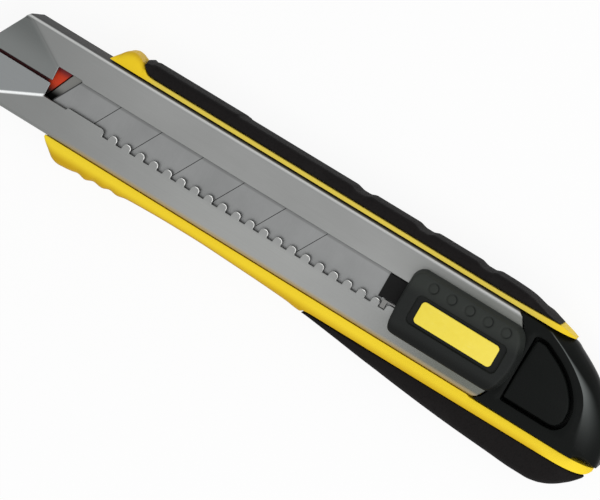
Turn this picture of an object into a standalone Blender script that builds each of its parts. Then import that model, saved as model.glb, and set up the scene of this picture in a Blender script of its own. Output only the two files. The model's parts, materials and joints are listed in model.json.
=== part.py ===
"""Snap off knife with a 25 mm blade and a magazine of spare blades, each piece an object of its own.

Frame: +X to the blade tip, +Y to the cutting edge, +Z up from the flat back face. All sizes are in metres.
"""

import math

import bmesh
import bpy
import numpy as np
from mathutils import Matrix

mm = 0.001

# Fits
gap = 0.3 * mm
side_play = 0.7 * mm
over = 2 * mm

# Blade: a parallelogram of sheet with a ground edge, a hole in its tail and scored snap lines
blade_length = 126 * mm
blade_width = 25 * mm
blade_thickness = 0.7 * mm
blade_slant = math.radians(30)
blade_edge = 1.7 * mm
blade_edge_land = 0.06 * mm
blade_tip_x = 82.4 * mm
blade_hole = 5.4 * mm
blade_hole_inset = 6.8 * mm
snap_pitch = 14 * mm
snap_count = 6
snap_groove = 0.25 * mm
snap_depth = 0.22 * mm
spare_count = 5
spare_tip_x = 64.2 * mm

# Steel channel
sheet = 0.8 * mm
channel_height = 6.5 * mm
channel_bend = 1.5 * mm
channel_rear_x = -72 * mm
channel_rear_corner = 3.4 * mm
channel_nose_x = 103.3 * mm
nose_setback = 0.6 * mm
skirt_depth = 3.4 * mm
skirt_inset = 0.05 * mm
skirt_play = 0.8 * mm
slot_upper = 4.35 * mm
slot_lower = 3.95 * mm
window_front_x = 80.3 * mm
window_rear_x = 72.4 * mm
window_step = 0.6 * mm
notch_count = 21
notch_first_x = 58.4 * mm
notch_width = 2.0 * mm
notch_depth = 2.0 * mm
press_depth = 0.5 * mm
press_upper_spread = math.radians(33)
press_lower_spread = math.radians(26)
press_upper_slope = 4 * mm
press_lower_slope = 0.6 * mm
slit_width = 0.95 * mm
rest_half = 10 * mm
rest_length = 6 * mm

# Red guide under the nose
guide_rear_x = 78.4 * mm
guide_slant = math.radians(25)
guide_inset = 2.5 * mm

# Handle and magazine
floor_thickness = 2 * mm
tray_wall = 0.7 * mm
tray_floor = 0.8 * mm
leaf_thickness = 0.3 * mm
leaf_bow = 0.5 * mm
leaf_half_length = 46 * mm
leaf_half_width = 5 * mm
follower_thickness = 0.7 * mm
rail_thickness = 0.6 * mm
rail_play = 0.4 * mm
wall_play = 0.5 * mm
wall_drop = 1.0 * mm
front_wall = 2.2 * mm
front_lean = 4 * mm
floor_setback = 0.4 * mm
hull_height = 8 * mm
lobe_lean = 3 * mm
lobe_tuck = 0.4
tail_lean = 9 * mm
tail_tuck = 0.45

# Slider
slide_height = 4.7 * mm
slide_draft = 0.7 * mm
slide_round = 0.9 * mm
panel_length = 29.4 * mm
panel_width = 9.2 * mm
panel_corner = 1.8 * mm
panel_depth = 0.9 * mm
panel_x = -57.6 * mm
panel_y = 0.1 * mm
badge_length = 25.1 * mm
badge_width = 6.7 * mm
badge_corner = 1.2 * mm
badge_thickness = 0.4 * mm
badge_play = 0.2 * mm
ring_count = 5
ring_pitch = 5.9 * mm
ring_radius = 1.45 * mm
ring_groove = 0.5 * mm
ring_depth = 0.35 * mm
ring_y = -7.6 * mm

# Carrier and lock leaf
carrier_front_x = -32.4 * mm
carrier_rear_x = -66 * mm
tongue_upper = 4.05 * mm
tongue_lower = 2.9 * mm
tongue_drop = 0.1 * mm
boss_half = 2.4 * mm
boss_height = 2.2 * mm
boss_ahead = 2 * mm
boss_behind = 4 * mm
lock_thickness = 0.35 * mm
lock_tooth_width = 1.4 * mm
lock_foot_y = 0.6 * mm
lock_foot_ahead = 4 * mm

# Cap and release button
cap_front_x = -72.4 * mm
cap_half = 14.2 * mm
cap_rim_drop = 7.2 * mm
cap_hull = 2.2 * mm
cap_top_drop = 0.2 * mm
button_proud = 0.1 * mm
button_groove = 1.3 * mm
button_front_groove = 0.4 * mm
button_depth = 2.7 * mm
button_stroke = 1.5 * mm
button_round = 0.45 * mm
stem_radius = 2 * mm
stem_length = 3.5 * mm
stem_x = -85.5 * mm
stem_y = 3 * mm
coil_radius = 3.3 * mm
coil_wire = 0.25 * mm
coil_turns = 3
coil_play = 0.15 * mm

# Sizes that follow from the ones above
blade_half = blade_width / 2
slant_run = blade_width * math.tan(blade_slant)
channel_half = blade_half + side_play + sheet
notch_pitch = snap_pitch / 3
notch_last_x = notch_first_x - (notch_count - 1) * notch_pitch
notch_bottom = slot_lower + notch_depth
wall_inside = channel_half + wall_play
rail_inside = blade_half + rail_play
tray_half = blade_half + gap + tray_wall
cavity_inside = tray_half + gap
tray_low = floor_thickness + gap
leaf_low = tray_low + tray_floor + gap
follower_low = leaf_low + leaf_bow + leaf_thickness + gap
stack_low = follower_low + follower_thickness + gap
stack_step = blade_thickness + gap
channel_low = stack_low + spare_count * stack_step
channel_top = channel_low + channel_height
ledge = channel_low - gap
wall_top = channel_top - wall_drop
lip_low = channel_top - sheet
blade_high = lip_low - press_depth - gap
blade_low = blade_high - blade_thickness
inside_low = channel_low + sheet + gap
inside_high = blade_low - gap
slide_low = channel_top + gap
slide_high = slide_low + slide_height
cap_top = channel_top - cap_top_drop
tray_top = ledge - rail_thickness - gap
spare_front_x = spare_tip_x + gap
spare_rear_x = spare_tip_x - blade_length - slant_run - gap
tray_front_x = spare_front_x + tray_wall
tray_rear_x = spare_rear_x - tray_wall
blade_hole_x = blade_tip_x - slant_run / 2 - blade_length + blade_hole_inset

# Outlines, as (x, distance beyond the channel's side) in millimetres
upper_wall_table = [
    (68.4, 0.8), (67.9, 1.6), (66.9, 2.9), (65.7, 4.2), (64.3, 4.9), (62.8, 5.1), (61.2, 5.05), (59.8, 4.95),
    (58.9, 4.85), (58.5, 4.4), (58.1, 3.7), (57.2, 2.65), (56.2, 1.95), (55.2, 1.75), (54.0, 1.7),
    (-60.0, 1.7), (-70.0, 1.9), (-76.0, 2.1), (-80.7, 2.25), (-83.4, 1.7), (-86.0, 0.8),
]
lower_wall_table = [
    (74.6, 0.8), (73.5, 2.4), (71.8, 4.0), (69.8, 5.4), (67.7, 5.9), (65.4, 5.7), (63.3, 5.4), (61.2, 5.1),
    (58.6, 5.6), (55.9, 4.8), (53.2, 5.1), (50.5, 4.4), (48.2, 4.7), (45.5, 4.2), (42.6, 4.0), (30.9, 3.8),
    (22.2, 3.8), (10.6, 4.2), (-9.6, 4.9), (-13.8, 5.2), (-14.6, 5.1), (-15.8, 4.5), (-18.0, 4.3),
    (-38.6, 4.2), (-94.6, 3.9), (-102.9, 3.4), (-106.0, 2.8), (-107.4, 1.9), (-108.2, 0.8),
]
upper_grip_table = [
    (58.2, 5.2), (56.3, 5.2), (24.8, 5.15), (-60.9, 5.2), (-66.5, 5.15), (-69.9, 5.0), (-73.5, 4.4),
    (-76.8, 3.5), (-80.2, 2.85),
]
lower_grip_table = [
    (-16.2, 5.5), (-18.2, 5.7), (-26.7, 6.8), (-38.1, 8.0), (-52.3, 9.7), (-66.3, 10.9), (-80.4, 11.5),
    (-88.7, 12.0), (-92.9, 12.0), (-96.0, 11.6), (-98.5, 10.7), (-101.3, 9.2), (-104.1, 7.2), (-105.6, 5.0),
]
nose_rear = 58.3
lean_ahead = (58.5, 10.0)
lean_behind = (-62.0, 24.0)
upper_fall = (-78.0, 8.4, 6.0)
lower_fall = (-98.0, 10.4, 8.0)
nose_roundness = 3.0
strip_roundness = 0.45
bare_band_rear = -14.2
band_roundness = 2.8
scallops = (-14.0, -34.6, -54.8)
scallop_half = 3.4
scallop_depth = 0.65
pad_front = 55.4
pad_rear = 25.4
pad_rise = 0.4
grip_low = 1.0 * mm
grip_drop = 0.3 * mm
upper_grip_roundness = 3.0
lower_grip_roundness = 3.4

# The slider's foot, the cap's outer edge and crest, and the button, as (x, y) in millimetres
slide_points = [
    (-38.7, -7.2), (-38.7, 2.0), (-39.0, 4.6), (-39.9, 8.0), (-40.7, 9.7), (-41.8, 10.1), (-71.8, 10.1),
    (-73.3, 9.5), (-74.6, 7.4), (-75.6, 4.2), (-76.1, 1.5), (-76.2, -1.4), (-75.6, -5.0), (-74.4, -8.2),
    (-72.9, -9.8), (-71.2, -10.4), (-41.4, -10.4), (-40.0, -9.7), (-39.1, -8.6),
]
cap_outer_points = [
    (-72.4, -10.3), (-70.9, -13.1), (-69.2, -14.2), (-76.4, -14.2), (-80.4, -14.2), (-86.0, -14.2),
    (-88.9, -12.9), (-91.8, -11.4), (-94.6, -9.8), (-97.1, -8.1), (-99.9, -5.7), (-102.5, -2.8),
    (-104.8, 1.0), (-106.6, 5.1), (-107.8, 9.3), (-108.4, 12.7), (-108.4, 14.2),
    (-69.2, 14.2), (-70.9, 13.1), (-72.4, 10.3),
]
cap_crest_points = [
    (-72.7, -10.1), (-71.2, -12.9), (-69.8, -13.9), (-76.4, -13.9), (-79.9, -13.3), (-84.0, -11.5),
    (-87.2, -9.8), (-90.0, -8.1), (-92.2, -6.5), (-94.0, -5.0), (-95.6, -3.4), (-97.0, -1.4),
    (-98.4, 1.2), (-99.5, 4.0), (-100.3, 8.0), (-100.5, 12.0), (-100.5, 13.9),
    (-69.8, 13.9), (-71.2, 12.9), (-72.7, 10.1),
]
button_points = [
    (-76.9, 8.8), (-77.4, 9.1), (-90.5, 9.1), (-92.6, 8.9), (-94.1, 7.8), (-94.8, 6.0), (-94.7, 3.7),
    (-93.8, 1.2), (-92.2, -1.2), (-89.7, -3.9), (-86.7, -6.1), (-82.6, -8.2), (-79.4, -9.4),
    (-77.9, -9.4), (-77.3, -8.6), (-77.0, -4.6), (-76.8, 0.6),
]

for old in list(bpy.data.objects):
    bpy.data.objects.remove(old)

parts = bpy.data.collections.new("snap_off_knife")
cutters = bpy.data.collections.new("cutters")
bpy.context.scene.collection.children.link(parts)
bpy.context.scene.collection.children.link(cutters)
cutters.hide_render = True

turned = {
    "X": Matrix(((0, 0, 1), (1, 0, 0), (0, 1, 0))),
    "Y": Matrix(((1, 0, 0), (0, 0, -1), (0, 1, 0))),
    "Z": Matrix.Identity(3),
}


def new_material(name, colour, roughness, metallic):
    made = bpy.data.materials.new(name)
    made.use_nodes = True
    shader = made.node_tree.nodes["Principled BSDF"]
    shader.inputs["Base Color"].default_value = (*colour, 1.0)
    shader.inputs["Roughness"].default_value = roughness
    shader.inputs["Metallic"].default_value = metallic
    return made


yellow_plastic = new_material("yellow_plastic", (0.85, 0.60, 0.03), 0.42, 0.0)
black_rubber = new_material("black_rubber", (0.014, 0.013, 0.013), 0.68, 0.0)
slider_plastic = new_material("slider_plastic", (0.034, 0.037, 0.034), 0.55, 0.0)
cap_plastic = new_material("cap_plastic", (0.010, 0.011, 0.011), 0.35, 0.0)
carrier_plastic = new_material("carrier_plastic", (0.008, 0.008, 0.008), 0.6, 0.0)
tray_plastic = new_material("tray_plastic", (0.05, 0.05, 0.055), 0.6, 0.0)
red_plastic = new_material("red_plastic", (0.42, 0.03, 0.01), 0.45, 0.0)
label_yellow = new_material("label_yellow", (0.90, 0.72, 0.08), 0.4, 0.0)
channel_steel = new_material("channel_steel", (0.30, 0.31, 0.30), 0.42, 1.0)
blade_steel = new_material("blade_steel", (0.28, 0.29, 0.29), 0.35, 1.0)
spring_steel = new_material("spring_steel", (0.33, 0.33, 0.33), 0.3, 1.0)


def in_metres(points):
    return [(x * mm, y * mm) for x, y in points]


def add_object(name, mesh, matrix, material):
    obj = bpy.data.objects.new(name, mesh)
    parts.objects.link(obj)
    obj.matrix_world = matrix
    if material:
        mesh.materials.append(material)
    return obj


def tidy_mesh(mesh):
    """Welds the points that meet and turns every face outwards."""
    work = bmesh.new()
    work.from_mesh(mesh)
    bmesh.ops.remove_doubles(work, verts=work.verts, dist=1e-6)
    bmesh.ops.recalc_face_normals(work, faces=work.faces)
    work.to_mesh(mesh)
    work.free()


def mesh_of_curve(name, curve, matrix, material):
    """Makes a mesh object of a curve, with its caps welded, and removes the curve's own object."""
    guide = bpy.data.objects.new(name + "_guide", curve)
    parts.objects.link(guide)
    guide.matrix_world = matrix
    bpy.context.view_layer.update()
    graph = bpy.context.evaluated_depsgraph_get()
    mesh = bpy.data.meshes.new_from_object(guide.evaluated_get(graph))
    mesh.name = name
    tidy_mesh(mesh)
    obj = add_object(name, mesh, guide.matrix_world.copy(), material)
    bpy.data.objects.remove(guide)
    return obj


def extruded(name, loops, axis, low, high, material=None, chamfer=0.0):
    """A filled flat outline made thick along one axis, from low to high, with an outward chamfer if asked."""
    curve = bpy.data.curves.new(name, "CURVE")
    curve.dimensions = "2D"
    curve.fill_mode = "BOTH"
    curve.extrude = (high - low) / 2 - chamfer
    curve.bevel_depth = chamfer
    curve.bevel_resolution = 0
    for loop in loops:
        spline = curve.splines.new("POLY")
        spline.points.add(len(loop) - 1)
        for point, (across, up) in zip(spline.points, loop):
            point.co = (across, up, 0, 1)
        spline.use_cyclic_u = True
    middle = [0.0, 0.0, 0.0]
    middle["XYZ".index(axis)] = (low + high) / 2
    matrix = Matrix.Translation(middle) @ turned[axis].to_4x4()
    return mesh_of_curve(name, curve, matrix, material)


def box(name, low, high, material=None):
    """A box between two corners."""
    size = [b - a for a, b in zip(low, high)]
    middle = [(a + b) / 2 for a, b in zip(low, high)]
    work = bmesh.new()
    bmesh.ops.create_cube(work, size=1.0, matrix=Matrix.Diagonal((*size, 1.0)))
    mesh = bpy.data.meshes.new(name)
    work.to_mesh(mesh)
    work.free()
    return add_object(name, mesh, Matrix.Translation(middle), material)


def cylinder(name, x, y, radius, low, high):
    """An upright cylinder about (x, y)."""
    work = bmesh.new()
    bmesh.ops.create_cone(work, cap_ends=True, segments=24, radius1=radius, radius2=radius, depth=high - low)
    mesh = bpy.data.meshes.new(name)
    work.to_mesh(mesh)
    work.free()
    return add_object(name, mesh, Matrix.Translation((x, y, (low + high) / 2)), None)


def loft(name, rings, material=None, fold=None):
    """A skin through closed rings of equal count. Each end is one face, or two that meet along a fold."""
    count = len(rings[0])
    points = [point for ring in rings for point in ring]
    faces = []
    for k in range(len(rings) - 1):
        for i in range(count):
            j = (i + 1) % count
            faces.append((k * count + i, k * count + j, (k + 1) * count + j, (k + 1) * count + i))
    for first in (0, (len(rings) - 1) * count):
        end = tuple(range(first, first + count))
        if fold is None:
            faces.append(end)
        else:
            near, far = fold
            faces += [end[near:far + 1], end[far:] + end[:near + 1]]
    mesh = bpy.data.meshes.new(name)
    mesh.from_pydata(points, [], faces)
    tidy_mesh(mesh)
    return add_object(name, mesh, Matrix.Identity(4), material)


def combine(target, tool, operation):
    """Cuts, joins or intersects the target with a tool, which moves to the cutters."""
    modifier = target.modifiers.new(tool.name, "BOOLEAN")
    modifier.solver = "EXACT"
    modifier.operation = operation
    modifier.object = tool
    if tool.name in parts.objects:
        parts.objects.unlink(tool)
        cutters.objects.link(tool)
    tool.hide_render = True
    tool.display_type = "WIRE"


def cut(target, tool):
    combine(target, tool, "DIFFERENCE")


def join(target, tool):
    combine(target, tool, "UNION")


def soften_top(obj, width, segments):
    """Rounds the edges of the upper face only."""
    mesh = obj.data
    heights = [vertex.co.z for vertex in mesh.vertices]
    top = max(heights) - 1e-6
    weights = mesh.attributes.new("bevel_weight_edge", "FLOAT", "EDGE")
    for edge in mesh.edges:
        on_top = all(heights[v] > top for v in edge.vertices)
        weights.data[edge.index].value = 1.0 if on_top else 0.0
    modifier = obj.modifiers.new("soft_top", "BEVEL")
    modifier.limit_method = "WEIGHT"
    modifier.width = width
    modifier.segments = segments


def shade_round(obj, degrees):
    obj.data.shade_smooth()
    obj.data.set_sharp_from_angle(angle=math.radians(degrees))


def curve_through(table):
    """Gives y(x) through a table's points: one cubic for each span, with slopes that don't overshoot."""
    places = sorted(table)
    xs = np.array([x for x, _ in places])
    ys = np.array([y for _, y in places])
    step = np.diff(xs)
    rise = np.diff(ys) / step
    slope = np.zeros(len(xs))
    slope[0] = rise[0]
    slope[-1] = rise[-1]
    for k in range(1, len(xs) - 1):
        if rise[k - 1] * rise[k] > 0:
            slope[k] = 2 * rise[k - 1] * rise[k] / (rise[k - 1] + rise[k])

    def value(x):
        k = int(np.clip(np.searchsorted(xs, x) - 1, 0, len(step) - 1))
        t = min(max((x - xs[k]) / step[k], 0.0), 1.0)
        start = (1 + 2 * t) * (1 - t) ** 2 * ys[k] + t * (1 - t) ** 2 * step[k] * slope[k]
        end = t * t * (3 - 2 * t) * ys[k + 1] + t * t * (t - 1) * step[k] * slope[k + 1]
        return start + end

    return value


def stations(table, longest, extra=()):
    """The table's places and those given, with more between them where the span is long."""
    places = sorted({x for x, _ in table} | set(extra), reverse=True)
    found = []
    for ahead, behind in zip(places, places[1:]):
        pieces = max(1, math.ceil((ahead - behind) / longest - 1e-9))
        found += [ahead + (behind - ahead) * k / pieces for k in range(pieces)]
    return found + [places[-1]]


def corner(centre_a, centre_b, radius, first, last, pieces):
    """Points of a round corner in a plane, between two angles in degrees."""
    angles = [math.radians(first + (last - first) * k / pieces) for k in range(pieces + 1)]
    return [(centre_a + radius * math.cos(a), centre_b + radius * math.sin(a)) for a in angles]


def rounded_box(centre_a, centre_b, length, width, radius, pieces=4):
    """A rectangle outline with round corners."""
    loop = []
    for quarter, (side_a, side_b) in enumerate(((1, 1), (-1, 1), (-1, -1), (1, -1))):
        middle_a = centre_a + side_a * (length / 2 - radius)
        middle_b = centre_b + side_b * (width / 2 - radius)
        loop += corner(middle_a, middle_b, radius, 90 * quarter, 90 * quarter + 90, pieces)
    return loop


def circle(centre_x, centre_y, radius, sides):
    return corner(centre_x, centre_y, radius, 0, 360 - 360 / sides, sides - 1)


def grown(loop, distance):
    """A closed outline moved outwards by a distance, or inwards by a negative one."""
    points = np.array(loop)
    ahead = np.roll(points, -1, axis=0) - points
    ahead /= np.linalg.norm(ahead, axis=1)[:, None]
    after = np.roll(points, -1, axis=0)
    area = np.sum(points[:, 0] * after[:, 1] - points[:, 1] * after[:, 0])
    normal = np.stack([ahead[:, 1], -ahead[:, 0]], axis=1) * np.sign(area)
    before = np.roll(normal, 1, axis=0)
    scale = distance / (1 + np.sum(normal * before, axis=1))
    return [tuple(p) for p in points + (normal + before) * scale[:, None]]


def slanted(x, slant, reach):
    """The ends, at y = -reach and y = reach, of a line that crosses y = 0 at x and leans forward with y."""
    run = reach * math.tan(slant)
    return (x - run, -reach), (x + run, reach)


def slanted_plan(front_x, rear_x, half, slant):
    """A parallelogram in plan, whose ends cross y = 0 at the two places."""
    front_low, front_high = slanted(front_x, slant, half)
    rear_low, rear_high = slanted(rear_x, slant, half)
    return [front_low, front_high, rear_high, rear_low]


# Steel channel: a closed tube, with a skirt each side of the nose, trimmed, then pressed, slotted and slit
channel_middle = (channel_low + channel_top) / 2
nose_lean = channel_half * math.tan(blade_slant)
tube_outer = rounded_box(0, channel_middle, 2 * channel_half, channel_height, channel_bend)
tube_inner = rounded_box(
    0, channel_middle, 2 * (channel_half - sheet), channel_height - 2 * sheet, channel_bend - sheet, 2
)
blade_channel = extruded(
    "blade_channel", [tube_outer, tube_inner], "X", channel_rear_x - over, channel_nose_x + nose_lean + over,
    channel_steel,
)
trim_half = channel_half + over


def trim_ring(height):
    """The channel's plan at a height: a nose that sets back as it goes down, and cut rear corners."""
    setback = nose_setback * (channel_top - height) / channel_height
    nose_upper, nose_lower = slanted(channel_nose_x - setback, blade_slant, trim_half)
    rear_side = []
    for along, across in ((1.0, -0.6), (1.0, 0.0), (0.45, 0.3), (0.0, 1.1)):
        place_x = channel_rear_x + along * channel_rear_corner
        rear_side.append((place_x, channel_half - across * channel_rear_corner))
    upper_side = [(x, -y) for x, y in reversed(rear_side)]
    return [(x, y, height) for x, y in [nose_upper, nose_lower, *rear_side, *upper_side]]


skirt_low = channel_low - skirt_depth
for side, wall_table in ((-1, upper_wall_table), (1, lower_wall_table)):
    skirt_rear_x = wall_table[0][0] * mm + skirt_play
    skirt_faces = sorted((side * (channel_half - skirt_inset), side * (channel_half - sheet + skirt_inset)))
    skirt = box(
        f"skirt_{side}", (skirt_rear_x, skirt_faces[0], skirt_low),
        (channel_nose_x + nose_lean + over, skirt_faces[1], channel_middle),
    )
    join(blade_channel, skirt)
press_rear_x = window_front_x - over
press_front_x = channel_nose_x + nose_lean + over
press_limit = channel_half - channel_bend


def press_loop(upper_spare, lower_spare):
    """The pressed panel's outline, which spreads from the window's corners to beyond the nose."""
    reach = press_front_x - press_rear_x
    upper = slot_upper + window_step + upper_spare - over * math.tan(press_upper_spread)
    lower = slot_lower + window_step + lower_spare - over * math.tan(press_lower_spread)
    return [
        (press_rear_x, -upper), (press_front_x, -upper - reach * math.tan(press_upper_spread)),
        (press_front_x, lower + reach * math.tan(press_lower_spread)), (press_rear_x, lower),
    ]


press_under = extruded(
    "press_under", [press_loop(sheet, sheet)], "Z", lip_low - press_depth, lip_low + sheet / 2
)
under_limit = press_limit + sheet / 2
press_bound = box(
    "press_bound", (press_rear_x - over, -under_limit, channel_low),
    (press_front_x - over, under_limit, channel_top),
)
combine(press_under, press_bound, "INTERSECT")
join(blade_channel, press_under)
press_rings = []
for side in (-1, 1):
    press_ring = press_loop(side * press_upper_slope, side * press_lower_slope)
    press_rings.append([(x, y, channel_top + side * press_depth) for x, y in press_ring])
press_pocket = loft("press_pocket", press_rings)
press_top = box(
    "press_top", (press_rear_x - over, -press_limit, channel_low),
    (press_front_x + over, press_limit, channel_top + over),
)
combine(press_pocket, press_top, "INTERSECT")
cut(blade_channel, press_pocket)
channel_trim = loft("channel_trim", [trim_ring(skirt_low - over), trim_ring(channel_top + over)])
combine(blade_channel, channel_trim, "INTERSECT")

tooth_round = 0.4 * (notch_pitch - notch_width)
slot_loop = [
    (window_front_x, slot_lower + window_step), (window_front_x, -slot_upper - window_step),
    (window_rear_x, -slot_upper - window_step), (window_rear_x - window_step, -slot_upper),
    (channel_rear_x - over, -slot_upper), (channel_rear_x - over, slot_lower),
]
for k in reversed(range(notch_count)):
    middle = notch_first_x - k * notch_pitch
    behind = middle - notch_width / 2
    ahead = middle + notch_width / 2
    slot_loop += corner(behind - tooth_round, slot_lower + tooth_round, tooth_round, -90, 0, 4)
    slot_loop += [(behind, notch_bottom), (ahead, notch_bottom)]
    slot_loop += corner(ahead + tooth_round, slot_lower + tooth_round, tooth_round, 180, 270, 4)
slot_loop += [(window_rear_x - window_step / 3, slot_lower), (window_rear_x, slot_lower + window_step)]
cut(blade_channel, extruded("slot_cutter", [slot_loop], "Z", blade_high, channel_top + over))
cut(
    blade_channel,
    box(
        "slit_cutter", (press_rear_x, -slit_width / 2, blade_high),
        (press_front_x, slit_width / 2, channel_top + over),
    ),
)
opening_half = blade_half + gap / 3
cut(
    blade_channel,
    box(
        "loading_cutter", (channel_rear_x - over, -opening_half, channel_low - over),
        (spare_front_x + gap, opening_half, channel_low + 1.5 * sheet),
    ),
)
rest_front_x = guide_rear_x - gap / math.cos(guide_slant)
rest_loop = slanted_plan(rest_front_x, rest_front_x - rest_length, rest_half, guide_slant)
join(blade_channel, extruded("blade_rest", [rest_loop], "Z", channel_low + sheet / 4, inside_high))
cut(
    blade_channel,
    extruded("rest_hollow", [grown(rest_loop, -sheet)], "Z", channel_low - over, inside_high - sheet),
)

# Blade: a ground bar, trimmed to its slanted outline, holed and scored
blade_middle = (blade_low + blade_high) / 2
blade_section = [
    (-blade_half, blade_low), (blade_half - blade_edge, blade_low),
    (blade_half, blade_middle - blade_edge_land / 2), (blade_half, blade_middle + blade_edge_land / 2),
    (blade_half - blade_edge, blade_high), (-blade_half, blade_high),
]
blade_centre_x = blade_tip_x - slant_run / 2
blade_rear_x = blade_tip_x - slant_run - blade_length
blade = extruded("blade", [blade_section], "X", blade_rear_x - over, blade_tip_x + over, blade_steel)
blade_plan = slanted_plan(blade_centre_x, blade_centre_x - blade_length, trim_half, blade_slant)
combine(blade, extruded("blade_trim", [blade_plan], "Z", blade_low - over, blade_high + over), "INTERSECT")
cut(blade, cylinder("hole_cutter", blade_hole_x, 0, blade_hole / 2, blade_low - over, blade_high + over))
for k in range(1, snap_count + 1):
    score_x = blade_centre_x - k * snap_pitch
    score_plan = slanted_plan(score_x + snap_groove / 2, score_x - snap_groove / 2, trim_half, blade_slant)
    cut(blade, extruded(f"score_{k}", [score_plan], "Z", blade_high - snap_depth, blade_high + over))

bpy.context.view_layer.update()
blade_shape = blade.evaluated_get(bpy.context.evaluated_depsgraph_get())
for k in range(spare_count):
    spare_mesh = bpy.data.meshes.new_from_object(blade_shape)
    spare_mesh.materials.clear()
    drop = stack_low + k * stack_step - blade_low
    place = Matrix.Translation((spare_tip_x - blade_tip_x, 0, drop)) @ blade.matrix_world
    add_object(f"spare_blade_{k + 1}", spare_mesh, place, blade_steel)

# Red guide under the nose
guide_half = channel_half - sheet - gap
guide_rear_low, guide_rear_high = slanted(guide_rear_x, guide_slant, guide_half)
guide_front_x = channel_nose_x - nose_setback - guide_inset
guide_front_low, guide_front_high = slanted(guide_front_x, blade_slant, guide_half)
guide_loop = [guide_rear_low, guide_front_low, guide_front_high, guide_rear_high]
nose_guide = extruded("nose_guide", [guide_loop], "Z", inside_low, inside_high, red_plastic)

# Magazine: tray, bowed leaf and follower
magazine_tray = box(
    "magazine_tray", (tray_rear_x, -tray_half, tray_low), (tray_front_x, tray_half, tray_top), tray_plastic
)
tray_room_half = tray_half - tray_wall
cut(
    magazine_tray,
    box(
        "tray_hollow", (spare_rear_x, -tray_room_half, tray_low + tray_floor),
        (spare_front_x, tray_room_half, tray_top + over),
    ),
)
spare_middle_x = spare_tip_x - slant_run / 2 - blade_length / 2
leaf_top = []
leaf_bottom = []
for k in range(25):
    along = -1 + k / 12
    height = leaf_low + leaf_bow * (1 - along * along)
    leaf_bottom.append((spare_middle_x + along * leaf_half_length, height))
    leaf_top.append((spare_middle_x + along * leaf_half_length, height + leaf_thickness))
magazine_spring = extruded(
    "magazine_spring", [leaf_bottom + leaf_top[::-1]], "Y", -leaf_half_width, leaf_half_width, spring_steel
)
follower_front_x = spare_tip_x - slant_run / 2 - gap
follower_rear_x = spare_tip_x - slant_run / 2 - blade_length + gap
follower_plan = slanted_plan(follower_front_x, follower_rear_x, blade_half - gap, blade_slant)
magazine_follower = extruded(
    "magazine_follower", [follower_plan], "Z", follower_low, follower_low + follower_thickness, tray_plastic
)

# Handle body: a floor, two lofted side walls and a front wall, all one moulding
upper_wall = curve_through(upper_wall_table)
lower_wall = curve_through(lower_wall_table)
floor_reach = rail_inside - 0.5 * mm
floor_overlap = rail_inside - 2 * mm


def lean_share(x, span):
    """How far x has gone outward along a span, squared. The span is a start and a run, in millimetres."""
    start, run = span
    return max(0.0, (x - start) / math.copysign(run, start)) ** 2


def leaning(x, side, height):
    """The place along X of a point at x, in millimetres. The spine side's two ends lean in below the hull."""
    if side > 0:
        return x * mm
    lean = tail_lean * lean_share(x, lean_behind) - lobe_lean * lean_share(x, lean_ahead)
    return x * mm + lean * max(0.0, 1 - height / hull_height)


def rear_fall(x, fall):
    """How far a top at x falls at the rear end, along a quarter of an ellipse."""
    start, run, depth = fall
    reach = min(max((start - x) / run, 0.0), 1.0)
    return depth * mm * (1 - math.sqrt(1 - reach * reach))


def wall_ring(x, side, stand_off, roundness, tuck, top):
    """The side wall's section at x, in millimetres: round outside, with a ledge and a rail inside."""
    outer = channel_half + stand_off * mm
    top_round = min(roundness, 0.85 * stand_off, stand_off - wall_play / mm) * mm
    low_round = min(1.4, 0.85 * stand_off) * mm
    shelf = min(ledge, top - wall_drop)
    hull = min(hull_height, shelf - rail_thickness - gap)
    foot = outer - tuck * stand_off * mm
    ring = [(outer, hull)]
    ring += corner(outer - top_round, top - top_round, top_round, 0, 90, 4)
    ring += [(wall_inside, top), (wall_inside, shelf), (rail_inside, shelf)]
    ring += [(rail_inside, shelf - rail_thickness), (cavity_inside, shelf - rail_thickness)]
    ring += [(cavity_inside, hull), (cavity_inside, floor_thickness)]
    ring += [(floor_overlap, floor_thickness), (floor_overlap, 0.0)]
    ring += corner(foot - low_round, low_round, low_round, -90, 0, 3)
    return [(leaning(x, side, z), side * y, z) for y, z in ring]


# Places in a ring of the two points at the hull's height, where the leaning ends fold
wall_fold = (0, 11)
grip_fold = (0, 8)
upper_rings = []
for x in stations(upper_wall_table, 20, (-64.0, -67.0, -73.0, -78.0, -82.0, -85.0)):
    roundness = nose_roundness if x > nose_rear else strip_roundness
    tuck = lobe_tuck if x > lean_ahead[0] else 0.0
    top = wall_top - rear_fall(x, upper_fall)
    upper_rings.append(wall_ring(x, -1, upper_wall(x), roundness, tuck, top))
lower_rings = []
for x in stations(lower_wall_table, 10, (-98.0, -100.5, -104.5)):
    roundness = band_roundness if x > bare_band_rear else strip_roundness
    top = wall_top - rear_fall(x, lower_fall)
    lower_rings.append(wall_ring(x, 1, lower_wall(x), roundness, 0.0, top))

widen = (channel_half + wall_play - gap) / cap_half
cap_outer = [(x * mm, y * mm * widen) for x, y in cap_outer_points]
cap_crest = [(x * mm, y * mm * widen) for x, y in cap_crest_points]
floor_front_x = tray_front_x + gap + front_wall
cap_rear = slice(5, 16)
floor_rear = grown(cap_outer, -cap_hull - floor_setback)[cap_rear]
floor_loop = [(floor_front_x, -floor_reach), *floor_rear, (floor_front_x + front_lean, floor_reach)]
handle_body = extruded("handle_body", [floor_loop], "Z", 0.0, floor_thickness, yellow_plastic)
join(handle_body, loft("upper_wall", upper_rings, fold=wall_fold))
join(handle_body, loft("lower_wall", lower_rings, fold=wall_fold))
front_wall_half = cavity_inside + gap
front_wall_low = floor_thickness / 4
join(
    handle_body,
    box(
        "front_wall", (tray_front_x + gap, -front_wall_half, front_wall_low),
        (floor_front_x, front_wall_half, ledge - gap / 3),
    ),
)
rear_room_x = 2 * cap_front_x
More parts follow.
